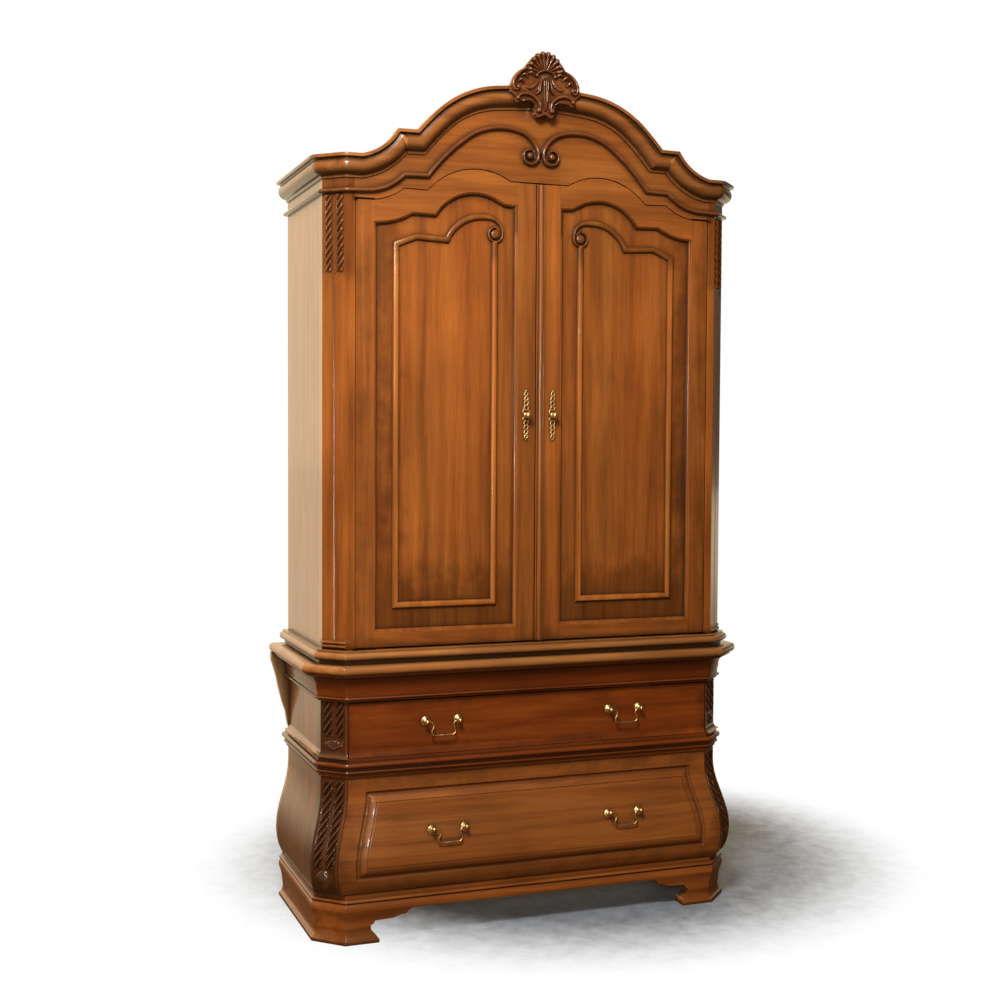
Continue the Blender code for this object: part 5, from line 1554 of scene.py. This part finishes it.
def make_floor():
    """Mottled grey floor that fades to white away from the object."""
    mesh = mesh_of([(-30, -30, 0), (30, -30, 0), (30, 60, 0), (-30, 60, 0)], [(0, 1, 2, 3)])
    floor = holder(mesh, "floor")
    tree = Tree(bpy.data.materials.new("mottled_floor"))
    place = tree.place()
    cloud = tree.noise(place, 16.0, 6.0, 0.70, 0.2)
    ground = tree.ramp(cloud, [(0.3, shade(128, 138, 156)), (0.7, shade(160, 171, 191))])
    seen = tree.node("ShaderNodeLightPath").outputs["Is Camera Ray"]
    tree.link(tree.mix(seen, BOUNCE, ground), "Base Color")
    tree.settings(Roughness=0.6, Specular_IOR_Level=0.2)
    middle = tree.node("ShaderNodeMapping", {
        "Vector": place, "Location": (-0.33, -0.42, 0.0), "Scale": (1.00, 1.06, 1.0)})
    away = tree.node("ShaderNodeVectorMath", {0: middle.outputs["Vector"]}, operation="LENGTH")
    edge = tree.maths("ADD", away.outputs["Value"], tree.remap(cloud, 0.3, 0.7, -0.03, 0.03))
    # Behind the object the floor glows for reflections, like the far end of a bright room.
    glow = tree.remap(tree.part(place, "Y"), *FLOOR_GLOW, 0.0, 1.0)
    share = tree.maths("ADD", tree.maths("MULTIPLY", tree.ease(edge, *FLOOR_FADE), seen),
                       tree.maths("MULTIPLY", glow, tree.maths("SUBTRACT", 1.0, seen)))
    white = tree.node("ShaderNodeEmission", {
        "Color": tree.mix(seen, ROOM_TINT, WHITE),
        "Strength": tree.remap(seen, 0.0, 1.0, ROOM_STRENGTH, 1.0)})
    blend = tree.node("ShaderNodeMixShader", {
        0: share, 1: tree.shader.outputs[0], 2: white.outputs[0]})
    surface = tree.tree.nodes["Material Output"].inputs["Surface"]
    tree.tree.links.new(blend.outputs[0], surface)
    mesh.materials.append(tree.owner)


def make_world():
    """Tinted surroundings, brighter behind on the left; the camera sees pure white."""
    tree = Tree(bpy.data.worlds.new("studio"), "Background")
    bpy.context.scene.world = tree.owner
    way = tree.node("ShaderNodeTexCoord").outputs["Generated"]
    toward = tree.node("ShaderNodeVectorMath", {0: way, 1: BRIGHT_SIDE}, operation="DOT_PRODUCT")
    level = tree.remap(toward.outputs["Value"], 0.1, 0.9, 0.07, 1.55)
    seen = tree.node("ShaderNodeLightPath").outputs["Is Camera Ray"]
    tree.link(tree.node("ShaderNodeMix", {0: seen, 2: level, 3: 1.0}).outputs[0], "Strength")
    tree.link(tree.mix(seen, ROOM_TINT, WHITE), "Color")


def make_lamp(name, location, target, width, power, colour):
    """Square soft light aimed at a point."""
    data = bpy.data.lights.new(name, "AREA")
    data.size = width
    data.energy = power
    data.color = colour
    lamp = holder(data, name)
    lamp.location = location
    aim = Vector(target) - Vector(location)
    lamp.rotation_euler = aim.to_track_quat("-Z", "Y").to_euler()


def make_camera():
    """Camera at the viewing angle of the picture."""
    data = bpy.data.cameras.new("camera")
    data.lens = LENS
    camera = holder(data, "camera")
    yaw, pitch, roll = [math.radians(angle) for angle in CAMERA_TURN]
    turn = Matrix.Rotation(-yaw, 4, "Z") @ Matrix.Rotation(math.radians(90) - pitch, 4, "X")
    spot = Matrix.Translation(CAMERA_PLACE)
    camera.matrix_world = spot @ turn @ Matrix.Rotation(roll, 4, "Z")
    bpy.context.scene.camera = camera


def main():
    """Everything, in the order in which it is placed."""
    make_upper_case()
    make_pediment()
    make_crown()
    make_scroll_beads()
    make_crest()
    for side_name, side in (("left", -1), ("right", 1)):
        make_door(side_name, side)
        make_door_pull(side_name)
    make_astragal()
    make_chest_case()
    make_chest_mouldings()
    make_bracket_base()
    make_upper_drawer_front()
    make_lower_drawer_front()
    for level in PULL_Z:
        for side_name, side in (("left", -1), ("right", 1)):
            make_pull(level, side_name, side)
    finish_kept_nodes()
    make_floor()
    make_world()
    for lamp in LAMPS:
        make_lamp(*lamp)
    make_camera()
    bpy.context.scene.view_settings.view_transform = "Standard"


main()
